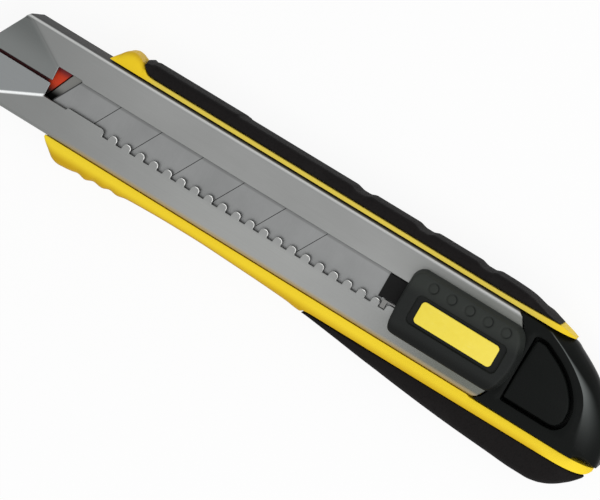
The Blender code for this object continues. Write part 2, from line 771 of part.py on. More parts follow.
cut(
    handle_body,
    box(
        "rear_room", (rear_room_x, -wall_inside, floor_thickness),
        (cap_front_x + gap, wall_inside, channel_top + over),
    ),
)


# Rubber grips: lofts whose inner side follows the wall at a fixed gap
def grip_ring(x, side, inner, outer, roundness, tuck, high):
    """A grip's section at x, in millimetres: a flat inner side and a round outer side."""
    inner_y = channel_half + inner * mm
    outer_y = channel_half + outer * mm
    width = outer_y - inner_y
    radius = min(roundness * mm, 0.8 * width)
    foot_y = outer_y - tuck * width
    foot_radius = min(radius, 0.8 * (foot_y - inner_y))
    hull = min(hull_height, high - radius - gap)
    ring = [(outer_y, hull)]
    ring += corner(outer_y - radius, high - radius, radius, 0, 90, 4)
    ring += [(inner_y + 0.1 * width, high), (inner_y, high - gap), (inner_y, hull)]
    ring += [(inner_y, grip_low + gap), (inner_y + 0.15 * (foot_y - inner_y), grip_low)]
    ring += corner(foot_y - foot_radius, grip_low + foot_radius, foot_radius, -90, 0, 4)[1:]
    return [(leaning(x, side, z), side * y, z) for y, z in ring]


def beside(wall, x):
    """The place beyond a wall's curve at x, at the fixed gap square to it, in millimetres."""
    reach = 0.1
    slope = (wall(x + reach) - wall(x - reach)) / (2 * reach)
    return wall(x) + gap / mm * math.sqrt(1 + slope * slope)


upper_grip_outer = curve_through(upper_grip_table)
lower_grip_outer = curve_through(lower_grip_table)
grip_high = wall_top - grip_drop
thinnest_grip = 0.3
pad_ramp = 0.8
grip_places = [57.9, 57.6, 57.2, 56.8, pad_front + pad_ramp, pad_front, pad_rear, pad_rear - pad_ramp]
grip_places += [-64.0, -67.0, -71.6, -75.0, -78.5]
for middle in scallops:
    grip_places += [middle + scallop_half * k / 3 for k in range(-3, 4)]
upper_grip_rings = []
for x in stations(upper_grip_table, 9, grip_places):
    outer = upper_grip_outer(x)
    for middle in scallops:
        reach = abs(x - middle) / scallop_half
        if reach < 1:
            outer -= scallop_depth * (0.5 + 0.5 * math.cos(math.pi * reach))
    raised = pad_rise if pad_rear <= x <= pad_front else 0.0
    inner = min(beside(upper_wall, x), outer - thinnest_grip)
    tuck = tail_tuck * min(1.0, 4 * lean_share(x, lean_behind))
    high = grip_high + raised * mm / 2 - rear_fall(x, upper_fall)
    upper_grip_rings.append(grip_ring(x, -1, inner, outer + raised, upper_grip_roundness, tuck, high))
upper_grip = loft("upper_grip", upper_grip_rings, black_rubber, grip_fold)
lower_grip_rings = []
for x in stations(lower_grip_table, 6):
    outer = lower_grip_outer(x)
    inner = min(beside(lower_wall, x), outer - thinnest_grip)
    high = grip_high - rear_fall(x, lower_fall)
    lower_grip_rings.append(grip_ring(x, 1, inner, outer, lower_grip_roundness, 0.0, high))
lower_grip = loft("lower_grip", lower_grip_rings, black_rubber, grip_fold)
shade_round(upper_grip, 50)
shade_round(lower_grip, 50)

# Blade carrier: a block under the blade, a riser behind it, a stud through its hole and a tongue in the slot
carrier_half = channel_half - sheet - gap
riser_front_x = blade_rear_x - gap
tongue_low = blade_high + gap
tongue_high = channel_top - tongue_drop
tongue_rear_x = carrier_rear_x + over
joint_depth = 0.4 * mm
blade_carrier = box(
    "blade_carrier", (carrier_rear_x, -carrier_half, inside_low),
    (carrier_front_x, carrier_half, inside_high), carrier_plastic,
)
join(
    blade_carrier,
    box(
        "carrier_riser", (carrier_rear_x, -carrier_half + gap, inside_low + joint_depth),
        (riser_front_x, carrier_half - gap, lip_low - gap),
    ),
)
stud_radius = blade_hole / 2 - gap
stud_low = inside_low + joint_depth
stud_high = tongue_high - joint_depth
join(blade_carrier, cylinder("carrier_stud", blade_hole_x, 0, stud_radius, stud_low, stud_high))
lock_inside = tongue_lower + gap
lock_outside = lock_inside + lock_thickness
recess_front_x = notch_last_x + lock_tooth_width / 2 + 2 * gap
recess_y = lock_inside - gap
tongue_loop = [
    (tongue_rear_x, -tongue_upper), (carrier_front_x, -tongue_upper), (carrier_front_x, tongue_lower + gap),
    (recess_front_x, tongue_lower + gap), (recess_front_x, recess_y), (tongue_rear_x, recess_y),
]
join(blade_carrier, extruded("carrier_tongue", [tongue_loop], "Z", tongue_low, tongue_high))
boss_front_x = blade_hole_x + boss_ahead
boss_rear_x = carrier_rear_x + boss_behind
boss_high = tongue_high + boss_height
join(
    blade_carrier,
    box("carrier_boss", (boss_rear_x, -boss_half, stud_high), (boss_front_x, boss_half, boss_high)),
)

# Lock leaf: a strip beside the tongue, with a tooth in the last notch and a foot in the tongue
foot_x = boss_rear_x + lock_foot_ahead
tooth_front_x = notch_last_x + lock_tooth_width / 2
tooth_rear_x = notch_last_x - lock_tooth_width / 2
tooth_reach = notch_bottom - gap
foot_rear_x = foot_x - lock_thickness
lock_loop = [
    (foot_x, lock_inside), (tooth_front_x, lock_inside), (tooth_front_x, tooth_reach),
    (tooth_rear_x, tooth_reach), (tooth_rear_x, lock_outside), (foot_rear_x, lock_outside),
    (foot_rear_x, lock_foot_y), (foot_x, lock_foot_y),
]
lock_low = tongue_low + gap
lock_spring = extruded("lock_spring", [lock_loop], "Z", lock_low, channel_top - gap / 2, spring_steel)
cut(
    blade_carrier,
    box(
        "lock_slit", (foot_rear_x - gap, lock_foot_y - gap, lock_low - gap),
        (foot_x + gap, lock_inside + over, boss_high + over),
    ),
)

# Thumb slide with its recessed panel, ring marks and socket
slide_base = in_metres(slide_points)
slide_rings = [[(x, y, slide_low) for x, y in slide_base]]
for drop, inward in ((1.0, 0.0), (0.3, 0.3), (0.0, 1.0)):
    ring = grown(slide_base, -slide_draft - inward * slide_round)
    slide_rings.append([(x, y, slide_high - drop * slide_round) for x, y in ring])
thumb_slide = loft("thumb_slide", slide_rings, slider_plastic)
panel_floor = slide_high - panel_depth
panel_loop = rounded_box(panel_x, panel_y, panel_length, panel_width, panel_corner)
cut(thumb_slide, extruded("panel_cutter", [panel_loop], "Z", panel_floor, slide_high + over))
for k in range(ring_count):
    ring_x = panel_x + (k - (ring_count - 1) / 2) * ring_pitch
    ring_loops = [circle(ring_x, ring_y, ring_radius + side * ring_groove / 2, 20) for side in (1, -1)]
    ring_low = slide_high - ring_depth
    cut(thumb_slide, extruded(f"ring_cutter_{k + 1}", ring_loops, "Z", ring_low, slide_high + over))
cut(
    thumb_slide,
    box(
        "socket_cutter", (boss_rear_x - gap, -boss_half - gap, slide_low - over),
        (boss_front_x + gap, boss_half + gap, boss_high + gap),
    ),
)
badge_low = panel_floor + badge_play
badge_loop = rounded_box(panel_x, panel_y, badge_length, badge_width, badge_corner)
slide_badge = extruded("slide_badge", [badge_loop], "Z", badge_low, badge_low + badge_thickness, label_yellow)

# End cap: a loft from its outer edge up to its crest, with room for the tray and a pocket for the button
cap_low = floor_thickness + gap
rim_z = cap_top - cap_rim_drop
cap_levels = [(0.0, 0.0), (0.45, 0.14), (0.75, 0.4), (0.93, 0.72), (1.0, 1.0)]
cap_foot = list(cap_outer)
cap_foot[cap_rear] = grown(cap_outer, -cap_hull)[cap_rear]
cap_foot[cap_rear.stop] = (cap_outer[cap_rear.stop][0] + cap_hull, cap_outer[cap_rear.stop][1])
cap_rings = [[(x, y, cap_low) for x, y in cap_foot]]
for rise, inward in cap_levels:
    ring = []
    for (outer_x, outer_y), (crest_x, crest_y) in zip(cap_outer, cap_crest):
        place_x = outer_x + (crest_x - outer_x) * inward
        place_y = outer_y + (crest_y - outer_y) * inward
        ring.append((place_x, place_y, rim_z + rise * cap_rim_drop))
    cap_rings.append(ring)
end_cap = loft("end_cap", cap_rings, cap_plastic)
shade_round(end_cap, 40)
cut(
    end_cap,
    box(
        "tray_room", (tray_rear_x - gap, -wall_inside - over, floor_thickness - over),
        (cap_front_x + 2 * over, wall_inside + over, channel_low),
    ),
)
button_loop = in_metres(button_points)
button_high = cap_top + button_proud
button_low = button_high - button_depth
pocket_low = button_low - button_stroke - (coil_turns + 1) * coil_wire
stem_low = pocket_low - stem_length
pocket_front_x = max(x for x, _ in button_loop) + button_front_groove
pocket_loop = [(min(x, pocket_front_x), y) for x, y in grown(button_loop, button_groove)]
cut(end_cap, extruded("button_pocket", [pocket_loop], "Z", pocket_low, cap_top + over))
bore_low = stem_low - button_stroke - gap
cut(end_cap, cylinder("stem_bore", stem_x, stem_y, stem_radius + gap, bore_low, pocket_low + gap))
release_button = extruded("release_button", [button_loop], "Z", button_low, button_high, cap_plastic)
soften_top(release_button, button_round, 2)
join(release_button, cylinder("button_stem", stem_x, stem_y, stem_radius, stem_low, button_low + joint_depth))

# Coil under the button
coil_low = pocket_low + coil_wire + coil_play
coil_high = button_low - coil_wire - coil_play
coil = bpy.data.curves.new("button_spring", "CURVE")
coil.dimensions = "3D"
coil.bevel_depth = coil_wire
coil.bevel_resolution = 1
coil.use_fill_caps = True
coil_line = coil.splines.new("POLY")
coil_steps = 14 * coil_turns
coil_line.points.add(coil_steps)
for k in range(coil_steps + 1):
    turn = 2 * math.pi * coil_turns * k / coil_steps
    height = coil_low + (coil_high - coil_low) * k / coil_steps
    coil_line.points[k].co = (
        stem_x + coil_radius * math.cos(turn), stem_y + coil_radius * math.sin(turn), height, 1
    )
button_spring = mesh_of_curve("button_spring", coil, Matrix.Identity(4), spring_steel)
shade_round(button_spring, 50)
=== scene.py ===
# %% [markdown]
# # A snap off knife, dressed for the camera
#
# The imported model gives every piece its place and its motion. This lesson adds the looks: smooth moulded
# surfaces worked out with numpy, and a procedural finish for each plastic, rubber and steel.
# Lengths are in metres, +X runs to the blade tip, +Y to the cutting edge and +Z up to the slider.

import json
import math

import bmesh
import bpy
import numpy as np
from mathutils import Matrix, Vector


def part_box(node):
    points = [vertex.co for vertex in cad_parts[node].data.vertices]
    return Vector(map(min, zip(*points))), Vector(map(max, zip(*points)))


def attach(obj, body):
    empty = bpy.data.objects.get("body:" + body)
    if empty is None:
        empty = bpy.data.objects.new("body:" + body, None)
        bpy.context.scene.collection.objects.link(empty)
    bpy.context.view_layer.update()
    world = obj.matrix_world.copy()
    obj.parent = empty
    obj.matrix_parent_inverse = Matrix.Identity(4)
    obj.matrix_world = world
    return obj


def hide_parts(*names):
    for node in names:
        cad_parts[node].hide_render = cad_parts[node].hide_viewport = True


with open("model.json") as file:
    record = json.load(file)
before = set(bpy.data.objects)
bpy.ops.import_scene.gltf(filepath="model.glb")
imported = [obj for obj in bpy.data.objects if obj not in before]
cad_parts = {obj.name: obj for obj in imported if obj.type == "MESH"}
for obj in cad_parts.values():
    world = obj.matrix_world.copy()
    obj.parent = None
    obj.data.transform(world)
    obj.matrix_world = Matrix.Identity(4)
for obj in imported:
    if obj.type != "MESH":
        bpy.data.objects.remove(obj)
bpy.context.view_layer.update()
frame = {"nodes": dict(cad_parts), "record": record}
nodes = frame["nodes"]
mm = 0.001

# %% [markdown]
# ## Camera
#
# The view is set by matching known corners of the knife, such as the teeth of the rack, to where they fall in
# the picture. That match gives the camera's place and three axes. A long lens from about a metre keeps the
# perspective as weak as it is there. Looking at a target would be simpler, but it can't hold the roll as well.

# %% Camera
camera_place = (-0.16954, -0.17736, 0.90018)
camera_right = (-0.83872, -0.48201, -0.25342)
camera_down = (-0.51477, 0.85357, 0.08020)
camera_forward = (0.17766, 0.19772, -0.96403)
focal_pixels = 3259.66
image_width = 600

camera_data = bpy.data.cameras.new("camera")
camera_data.sensor_width = 36.0
camera_data.lens = camera_data.sensor_width * focal_pixels / image_width
camera_data.clip_start = 0.05
camera_data.clip_end = 20.0
camera = bpy.data.objects.new("camera", camera_data)
axes = np.array([camera_right, np.negative(camera_down), np.negative(camera_forward)]).T
camera.matrix_world = Matrix.Translation(camera_place) @ Matrix(axes.tolist()).to_4x4()
bpy.context.scene.collection.objects.link(camera)
bpy.context.scene.camera = camera
print("lens in mm:", round(camera_data.lens, 1))

# %% [markdown]
# ## Writing shader maths as Python
#
# A node tree is a formula drawn as boxes. Wrapping an output socket in a small class lets the formula be typed
# instead: every operator adds one Math node and hands back its output. One method makes any other node. It sets
# the node's own settings first, because some of them change which sockets exist.


# %% Socket wrapper
class Signal:
    """An output socket of a board, with the operators that add Math nodes."""

    def __init__(self, board, socket):
        self.board = board
        self.socket = socket

    def math(self, operation, first, second):
        return self.board.node("Math", {"operation": operation}, {0: first, 1: second})

    def __add__(self, other):
        return self.math("ADD", self, other)

    __radd__ = __add__

    def __sub__(self, other):
        return self.math("SUBTRACT", self, other)

    def __rsub__(self, other):
        return self.math("SUBTRACT", other, self)

    def __mul__(self, other):
        return self.math("MULTIPLY", self, other)

    __rmul__ = __mul__

    def __truediv__(self, other):
        return self.math("DIVIDE", self, other)

    def __pow__(self, other):
        return self.math("POWER", self, other)

    def __lt__(self, other):
        return self.math("LESS_THAN", self, other)

    def __gt__(self, other):
        return self.math("GREATER_THAN", self, other)

    def __abs__(self):
        return self.math("ABSOLUTE", self, 0.0)

    def at_least(self, other):
        return self.math("MAXIMUM", self, other)

    def fraction(self):
        return self.math("FRACT", self, 0.0)


class Board:
    """A material's or the world's node tree, cleared and ready for its own nodes."""

    def __init__(self, owner):
        owner.use_nodes = True
        self.tree = owner.node_tree
        self.tree.nodes.clear()

    def node(self, kind, settings=None, sockets=None, output=0):
        """Adds a node of a kind, sets its settings, then fills or links its sockets. Gives one output."""
        made = self.tree.nodes.new("ShaderNode" + kind)
        for name, value in (settings or {}).items():
            setattr(made, name, value)
        for name, value in (sockets or {}).items():
            if isinstance(value, Signal):
                self.tree.links.new(value.socket, made.inputs[name])
            else:
                made.inputs[name].default_value = value
        return Signal(self, made.outputs[output]) if made.outputs else None

    def place(self, stretch=(1.0, 1.0, 1.0), turn=(0.0, 0.0, 0.0)):
        """Object coordinates, scaled and turned by a Mapping node."""
        coordinates = self.node("TexCoord", output="Object")
        return self.node("Mapping", None, {"Vector": coordinates, "Scale": stretch, "Rotation": turn})

    def noise(self, scale, detail=2.0, roughness=0.5, stretch=(1.0, 1.0, 1.0), turn=(0.0, 0.0, 0.0)):
        """Fractal noise about a half, on object coordinates, as so many waves to a metre."""
        sockets = {"Vector": self.place(stretch, turn), "Scale": scale, "Detail": detail, "Roughness": roughness}
        return self.node("TexNoise", None, sockets)

    def cells(self, scale):
        """Distance to the nearest of scattered points."""
        return self.node("TexVoronoi", {"feature": "F1"}, {"Vector": self.place(), "Scale": scale})

    def band(self, value, low, high):
        """Smooth step of a value from 0 at low to 1 at high."""
        settings = {"interpolation_type": "SMOOTHSTEP"}
        return self.node("MapRange", settings, {"Value": value, "From Min": low, "From Max": high})

    def fade(self, value, low, high):
        """Smooth step of a value from 1 at low to 0 at high."""
        return 1 - self.band(value, low, high)

    def coats(self, colour, *layers):
        """A colour under layers, each a share and a colour as it looks on a screen, or one from nodes."""
        for share, shade in layers:
            colour = self.blend(share, colour, shade if isinstance(shade, Signal) else srgb(*shade))
        return colour

    def blend(self, factor, first, second):
        """A colour between two colours."""
        sockets = {"Factor": factor, 6: rgba(first), 7: rgba(second)}
        return self.node("Mix", {"data_type": "RGBA"}, sockets, 2)

    def relief(self, height, depth, under=None):
        """A normal bumped by a height of so many metres."""
        sockets = {"Height": height, "Distance": depth, "Strength": 1.0}
        if under is not None:
            sockets["Normal"] = under
        return self.node("Bump", None, sockets)


def rgba(colour):
    return colour if isinstance(colour, Signal) or len(colour) == 4 else (*colour, 1.0)


def srgb(red, green, blue):
    """A colour written as it looks on a screen, from 0 to 255, turned into linear light."""
    shares = np.array([red, green, blue]) / 255
    linear = np.where(shares < 0.04045, shares / 12.92, ((shares + 0.055) / 1.055) ** 2.4)
    return tuple(float(x) for x in linear)


finishes = {}


def finish(name, constants, varying):
    """Makes a material: constants go straight to the shader's sockets, varying ones come from a board."""
    material = bpy.data.materials.new(name)
    board = Board(material)
    sockets = dict(constants)
    sockets.update(varying(board))
    shader = board.node("BsdfPrincipled", None, sockets)
    board.node("OutputMaterial", None, {"Surface": shader})
    finishes[name] = material
    print("finish", name, "with", len(board.tree.nodes), "nodes")
    return material


# %% [markdown]
# ## Floor, backdrop and light
#
# The knife lies on plain white. A floor that glows for the camera and for mirror-like rays reads as white at
# any exposure, and a share of ordinary diffuse white in it keeps the shadow. A long low lamp stands on the spine
# side, because the bend of the steel has its bright line there, which a painted highlight makes brighter. A soft
# lamp hangs over the rear, so that the flat steel, which mirrors what is above it, brightens towards the slider,
# and painted shade darkens it further towards the nose.


# %% Floor and world
def seen_directly(board):
    """1 for camera, glossy and transmission rays, and 0 for the light that lands on other things."""
    path = board.tree.nodes.new("ShaderNodeLightPath")
    seen = Signal(board, path.outputs["Is Camera Ray"])
    for name in ("Is Glossy Ray", "Is Transmission Ray"):
        seen = seen.at_least(Signal(board, path.outputs[name]))
    return seen


floor_half = 3.0
shadow_share = 0.09
floor_mesh = bpy.data.meshes.new("floor")
corners = np.array([(-1, -1, 0), (1, -1, 0), (1, 1, 0), (-1, 1, 0)]) * floor_half
floor_mesh.from_pydata((corners - (0, 0, 0.02 * mm)).tolist(), [], [(0, 1, 2, 3)])
floor = bpy.data.objects.new("floor", floor_mesh)
bpy.context.scene.collection.objects.link(floor)
floor_white = bpy.data.materials.new("floor_white")
board = Board(floor_white)
plain = board.node("BsdfDiffuse", None, {"Color": (0.92, 0.92, 0.92, 1.0)})
glow = board.node("Emission", None, {"Color": (1.0, 1.0, 1.0, 1.0), "Strength": 1.0})
surface = board.node("MixShader", None, {0: seen_directly(board) * (1 - shadow_share), 1: plain, 2: glow})
board.node("OutputMaterial", None, {"Surface": surface})
floor_mesh.materials.append(floor_white)

world_light = 0.55
world = bpy.data.worlds.new("studio")
bpy.context.scene.world = world
board = Board(world)
strength = seen_directly(board) * (1 - world_light) + world_light
sky = board.node("Background", None, {"Color": (1.0, 1.0, 1.0, 1.0), "Strength": strength})
board.node("OutputWorld", None, {"Surface": sky})


def soft_lamp(name, place, target, width, height, watts):
    """A rectangular lamp that faces a target."""
    data = bpy.data.lights.new(name, "AREA")
    data.shape = "RECTANGLE"
    data.size = width
    data.size_y = height
    data.energy = watts
    lamp = bpy.data.objects.new(name, data)
    direction = Matrix.Translation(target).translation - Matrix.Translation(place).translation
    lamp.matrix_world = Matrix.Translation(place) @ direction.to_track_quat("-Z", "X").to_matrix().to_4x4()
    bpy.context.scene.collection.objects.link(lamp)
    return lamp


soft_lamp("overhead", (-0.36, 0.10, 0.55), (-0.04, 0, 0), 0.6, 0.6, 2.2)
soft_lamp("spine_side", (0.25, -0.85, 0.22), (0.05, 0, 0.01), 0.25, 1.7, 1.2)
bpy.context.scene.view_settings.view_transform = "Standard"
print("floor, world and two lamps are set")

# %% [markdown]
# ## Hard yellow plastic
#
# The handle is moulded in a tough yellow plastic: satin, with a very fine spark-eroded grain and a slight change
# of tone along the flow. An image could hold that, but noise on object coordinates has no seams and stays at
# the right size. Light scuffs sit where a hand or a bench rubs, drawn out along the handle. The thin strip beside
# the spine's rubber is rubbed the most, so it has paled. Where the walls round down on their outer sides, and
# towards the outer side of the edge's strip, the colour turns to orange as painted shade. Places in the recipes
# are in millimetres on the knife.


# %% Yellow plastic
def millimetres(board):
    """The three object coordinates as signals, in millimetres."""
    coordinates = board.node("TexCoord", output="Object")
    return [board.node("SeparateXYZ", None, {"Vector": coordinates}, axis) / mm for axis in range(3)]


handle_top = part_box("handle_body")[1][2]


def yellow_recipe(board):
    x, y, z = millimetres(board)
    tone = board.noise(45.0, 3.0, 0.55, (0.4, 1.0, 1.0))
    grain = board.noise(2400.0, 2.0)
    scuff = board.band(board.noise(420.0, 5.0, 0.7, (0.16, 1.0, 1.0), (0.0, 0.0, 0.2)), 0.60, 0.76)
    spine = board.band(0 - y, 12.6, 14.2)
    behind_lobe = board.fade(x, 53, 58)
    # painted shade: orange where the walls round down from the top, half as much on the spine's lobe and none
    # behind it
    fallen = board.band(handle_top / mm - z, 0.05, 1.8) * board.band(abs(y), 14.6, 15)
    fallen = fallen * (1 - 0.5 * spine) * (1 - spine * behind_lobe)
    # painted shade also towards the outer side of the edge's strip, but not at the tail
    painted_shade = fallen.at_least(board.band(y, 15.7, 18.7) * 0.75) * board.band(x, -98, -90)
    colour = board.coats(
        board.blend(board.band(tone, 0.3, 0.7), srgb(254, 223, 55), srgb(250, 216, 48)),
        (spine * 0.8, (243, 206, 36)),
        (painted_shade, (190, 142, 12)),
        (spine * behind_lobe * board.band(x, -84, -70) * 0.65, (218, 201, 98)),
        (scuff * 0.15, (250, 230, 116)),
    )
    rough = 0.36 + 0.10 * grain + 0.12 * scuff
    return {"Base Color": colour, "Roughness": rough, "Normal": board.relief(grain, 0.035 * mm)}


finish("yellow_plastic", {"Specular IOR Level": 0.06}, yellow_recipe)

# %% [markdown]
# ## Black rubber
#
# The grips are soft overmoulding. Rubber is matt because its skin is pebbled finer than the eye can resolve, so
# two sizes of bump do most of the work, and a pale bloom of dust gathers in the hollows of the larger one. The
# spine grip's outer side is darkened with painted shade, so it is the blackest.


# %% Black rubber
def rubber_recipe(board):
    x, y, z = millimetres(board)
    pebble = board.cells(1500.0)
    grain = board.noise(5200.0, 2.0)
    bloom = board.band(board.noise(110.0, 4.0, 0.6), 0.48, 0.75)
    colour = board.coats(
        board.blend(bloom * 0.55, srgb(25, 23, 23), srgb(35, 33, 33)),
        (board.band(pebble, 0.45, 0.85) * 0.35, (14, 13, 13)),
        # painted shade: the spine grip's outer side is darker
        (board.band(0 - y, 18, 19.4) * 0.6, (8, 7, 7)),
    )
    rough = 0.60 + 0.16 * grain + 0.08 * bloom
    skin = board.relief(grain, 0.02 * mm, board.relief(pebble, 0.05 * mm))
    return {"Base Color": colour, "Roughness": rough, "Normal": skin}


finish("black_rubber", {"Specular IOR Level": 0.06}, rubber_recipe)

# %% [markdown]
# ## Stamped sheet steel
#
# The channel is bent from satin sheet. Rolling leaves hair lines along its length, so one noise is stretched along
# X until it is all lines. Slow clouds change the tone and gloss as finger marks and oil do, and a few thin
# scratches run across. The rest is painted light and shade. Painted shade darkens the steel towards the nose,
# inside the channel, where it turns black towards the edge side, on the pressed panel at the nose and along its
# upper crease, and most on the spine side's outer face, which is also less metallic. Painted highlights brighten
# the spine side's bend, the lower crease of the nose and the rear edge of every tooth of the rack. Beside the
# yellow wall the edge side's bend takes a painted reflection of the yellow, and the strip beside the slider's path
# is darker.


# %% Sheet steel
def hair_lines(board, along=(0.012, 1.0, 1.0), scale=5200.0, turn=(0.0, 0.0, 0.0)):
    return board.noise(scale, 3.0, 0.65, along, turn)


def scratches(board, scale, turn):
    """Thin lines where a noise stretched into streaks passes near a half, kept only in patches."""
    streak = abs(board.noise(scale, 1.0, 0.4, (0.03, 1.0, 1.0), (0.0, 0.0, turn)) - 0.5)
    patch = board.band(board.noise(160.0, 2.0), 0.55, 0.70)
    return board.fade(streak, 0.0, 0.012) * patch


def beside_line(x, y, through_x, through_y, degrees):
    """Distance in plan from a line through a point at an angle to X, positive on the side towards +Y."""
    turn = math.radians(degrees)
    return (y - through_y) * math.cos(turn) - (x - through_x) * math.sin(turn)


channel_half = max(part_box("blade_channel")[1][1], -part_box("blade_channel")[0][1])
channel_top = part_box("blade_channel")[1][2]
first_notch, notch_pitch = 58.4, 14 / 3
last_notch = first_notch - 20.3 * notch_pitch


def channel_recipe(board):
    x, y, z = millimetres(board)
    half, below = channel_half / mm, channel_top / mm - z
    lines = hair_lines(board)
    cloud = board.noise(34.0, 4.0, 0.6, (0.5, 1.0, 1.0))
    marks = scratches(board, 1500.0, 0.9).at_least(scratches(board, 1300.0, -0.5))
    # painted shade: the spine side's outer face is darker and less metallic
    side = board.band(0 - y, half - 0.6, half - 0.06)
    # painted highlight along the spine side's bend
    bend_highlight = board.band(0 - y, half - 1.1, half - 0.8) * board.fade(below, 0.5, 0.9)
    # painted shade inside the channel, grey going to black towards the edge side
    inside = board.band(below, 1.0, 1.4) * (abs(y) < half - 0.3)
    edge_side = board.band(y, 5, 7) * board.fade(x, 20, 60) * board.band(x, -40, 0)
    nose = board.band(x, 79.8, 80.6)
    lower_crease = beside_line(x, y, 80.0, 4.3, 25.6)
    upper_crease = beside_line(x, y, 80.0, -4.7, -31.0)
    pressed = board.band(upper_crease, -1.2, 1.5) * (lower_crease < 0) * nose
    tooth = ((x - first_notch) / notch_pitch).fraction()
    # painted highlight on the rear edge of each tooth of the rack
    rear_edge = board.band(tooth, 0.12, 0.22) * board.fade(tooth, 0.42, 0.66)
    rear_edge = rear_edge * board.band(y, 3.3, 3.8) * board.fade(y, 4.9, 5.6)
    rear_edge = rear_edge * board.band(below, 0.01, 0.03) * board.fade(below, 0.18, 0.26)
    rear_edge = rear_edge * (x < first_notch) * (x > last_notch)
    beside_slider = board.band(0 - x, 26, 62) * board.band(abs(y), 4, 9) * board.fade(abs(y), 12.4, 13.2)
    beside_slider = beside_slider * (0.65 + 0.3 * (y > 0))
    # painted reflection of the yellow wall in the edge side's bend
    yellow_reflection = board.band(y, half - 1.9, half - 0.5) * board.fade(x, 60, 76) * board.band(x, -74, -68)
    # painted shade on the pressed panel at the nose: darker towards the spine side, lighter along its middle
    panel = board.coats(
        board.blend(board.band(0 - y, 2, 11), srgb(116, 119, 118), srgb(96, 99, 98)),
        (board.band(y, -0.5, 0.5), (136, 139, 140)),
    )
    colour = board.coats(
        board.blend(board.band(cloud, 0.3, 0.7), srgb(138, 139, 138), srgb(146, 147, 146)),
        (edge_side * 0.5, (160, 161, 159)),
        # painted shade: the steel darker towards the nose
        (board.band(x, 40, 105) * 0.6, (112, 114, 113)),
        (pressed, panel),
        # painted shade along the nose's upper crease
        (board.fade(abs(upper_crease), 0.0, 0.4) * nose * 0.4, (92, 94, 93)),
        (lines * 0.3, (122, 123, 122)),
        (bend_highlight * 0.6, (196, 197, 196)),
        (beside_slider, (92, 94, 88)),
        (yellow_reflection * 0.6, (180, 150, 76)),
        # painted highlight along the nose's lower crease
        (board.fade(abs(lower_crease), 0.1, 0.6) * nose * 0.9, (240, 242, 242)),
        (rear_edge, (240, 240, 238)),
        (inside, board.blend(board.band(y, 0.0, 3.4), srgb(118, 118, 115), srgb(9, 9, 9))),
        (side, (82, 82, 82)),
    )
    rough = 0.30 + 0.12 * lines + 0.10 * cloud + 0.08 * marks
    grain = board.relief(lines, 0.012 * mm)
    return {"Base Color": colour, "Roughness": rough, "Metallic": 1 - 0.85 * side, "Normal": grain}


finish("channel_steel", {"Specular IOR Level": 0.0}, channel_recipe)

# %% [markdown]
# ## Blade and spring steel
#
# A blade is ground, not rolled, so its lines run across it. The ground edge is brighter than the flat, which
# keeps a thin grey film of oil, and along the channel's lip it is darker with painted shadow. Dirt fills the scored
# snap lines, and the slanted end is dark, partly as a broken face and partly as painted shadow. The same noise
# serves, turned by a right angle and finer. Springs are drawn and bright.


# %% Blade and spring steel
tip_x, edge_y, blade_top = (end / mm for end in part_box("blade")[1])
ground_width = 1.7
end_slant = 60.0


def blade_recipe(board):
    x, y, z = millimetres(board)
    lines = hair_lines(board, (1.0, 0.02, 1.0), 6400.0, (0.0, 0.0, 0.12))
    film = board.noise(52.0, 4.0, 0.6)
    # painted shadow of the channel's lip on the blade
    lip = board.band(0 - y, 3.15, 3.7)
    sunk = blade_top - z
    scored = board.band(sunk, 0.02, 0.08) * (sunk < 0.3)
    ground = board.band(y, edge_y - ground_width, edge_y - 0.9 * ground_width)
    # the slanted end: a dark broken face with painted shadow beside it
    broken_face_and_shadow = board.fade(beside_line(x, y, tip_x, edge_y, end_slant), 0.25, 0.45)
    colour = board.coats(
        board.blend(board.band(film, 0.32, 0.68), srgb(131, 132, 132), srgb(139, 140, 140)),
        (lines * 0.3, (118, 120, 119)),
        (lip * 0.45, (88, 89, 88)),
        (scored * 0.9, (46, 46, 46)),
        (ground, (178, 180, 180)),
        (broken_face_and_shadow * 0.85, (34, 34, 34)),
    )
    rough = 0.28 + 0.14 * lines + 0.10 * film
    return {"Base Color": colour, "Roughness": rough, "Normal": board.relief(lines, 0.01 * mm)}


def spring_recipe(board):
    lines = hair_lines(board, (0.05, 1.0, 1.0), 7000.0)
    colour = board.blend(board.noise(240.0, 3.0), srgb(112, 112, 112), srgb(128, 127, 124))
    return {"Base Color": colour, "Roughness": 0.24 + 0.14 * lines, "Normal": board.relief(lines, 0.008 * mm)}


finish("blade_steel", {"Metallic": 1.0}, blade_recipe)
finish("spring_steel", {"Metallic": 1.0}, spring_recipe)

# %% [markdown]
# ## Dark moulded plastics
#
# The slider, the end cap, the carrier and the tray are all dark plastics that differ in tone and gloss. One recipe
# with a few numbers makes them alike in kind: a moulded grain, faint flow marks, rubbed patches that shine a
# little more, and fine scratches that catch the light. The slider and the cap add places of their own, which are
# painted light and shade: painted shade blackens the slider's panel, ring marks and lower edge, a paler tone on its
# spine side stands in for light, and a painted highlight pales the cap outside its crest.


# %% Dark plastics
def dark_plastic(name, tone, worn_tone, gloss, grain_scale, grain_depth, shine, places=None):
    def recipe(board):
        grain = board.noise(grain_scale, 2.0)
        rubbed = board.band(board.noise(75.0, 3.0, 0.55, (0.5, 1.0, 1.0)), 0.45, 0.7)
        marks = scratches(board, 1800.0, 0.6).at_least(scratches(board, 1500.0, -0.8))
        colour = board.blend(rubbed * 0.5 + marks * 0.4, srgb(*tone), srgb(*worn_tone))
        # the slider's and the cap's places paint light and shade onto the colour
        if places:
            colour = places(board, colour)
        rough = gloss + 0.14 * grain - 0.06 * rubbed + 0.15 * marks
        return {"Base Color": colour, "Roughness": rough, "Normal": board.relief(grain, grain_depth * mm)}

    finish(name, {"Specular IOR Level": shine}, recipe)


slide_low, slide_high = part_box("thumb_slide")[0][2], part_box("thumb_slide")[1][2]
slide_centre = -57.6
ring_count, ring_pitch = 5, 5.9
ring_y, ring_radius, ring_width = -7.6, 1.45, 0.32


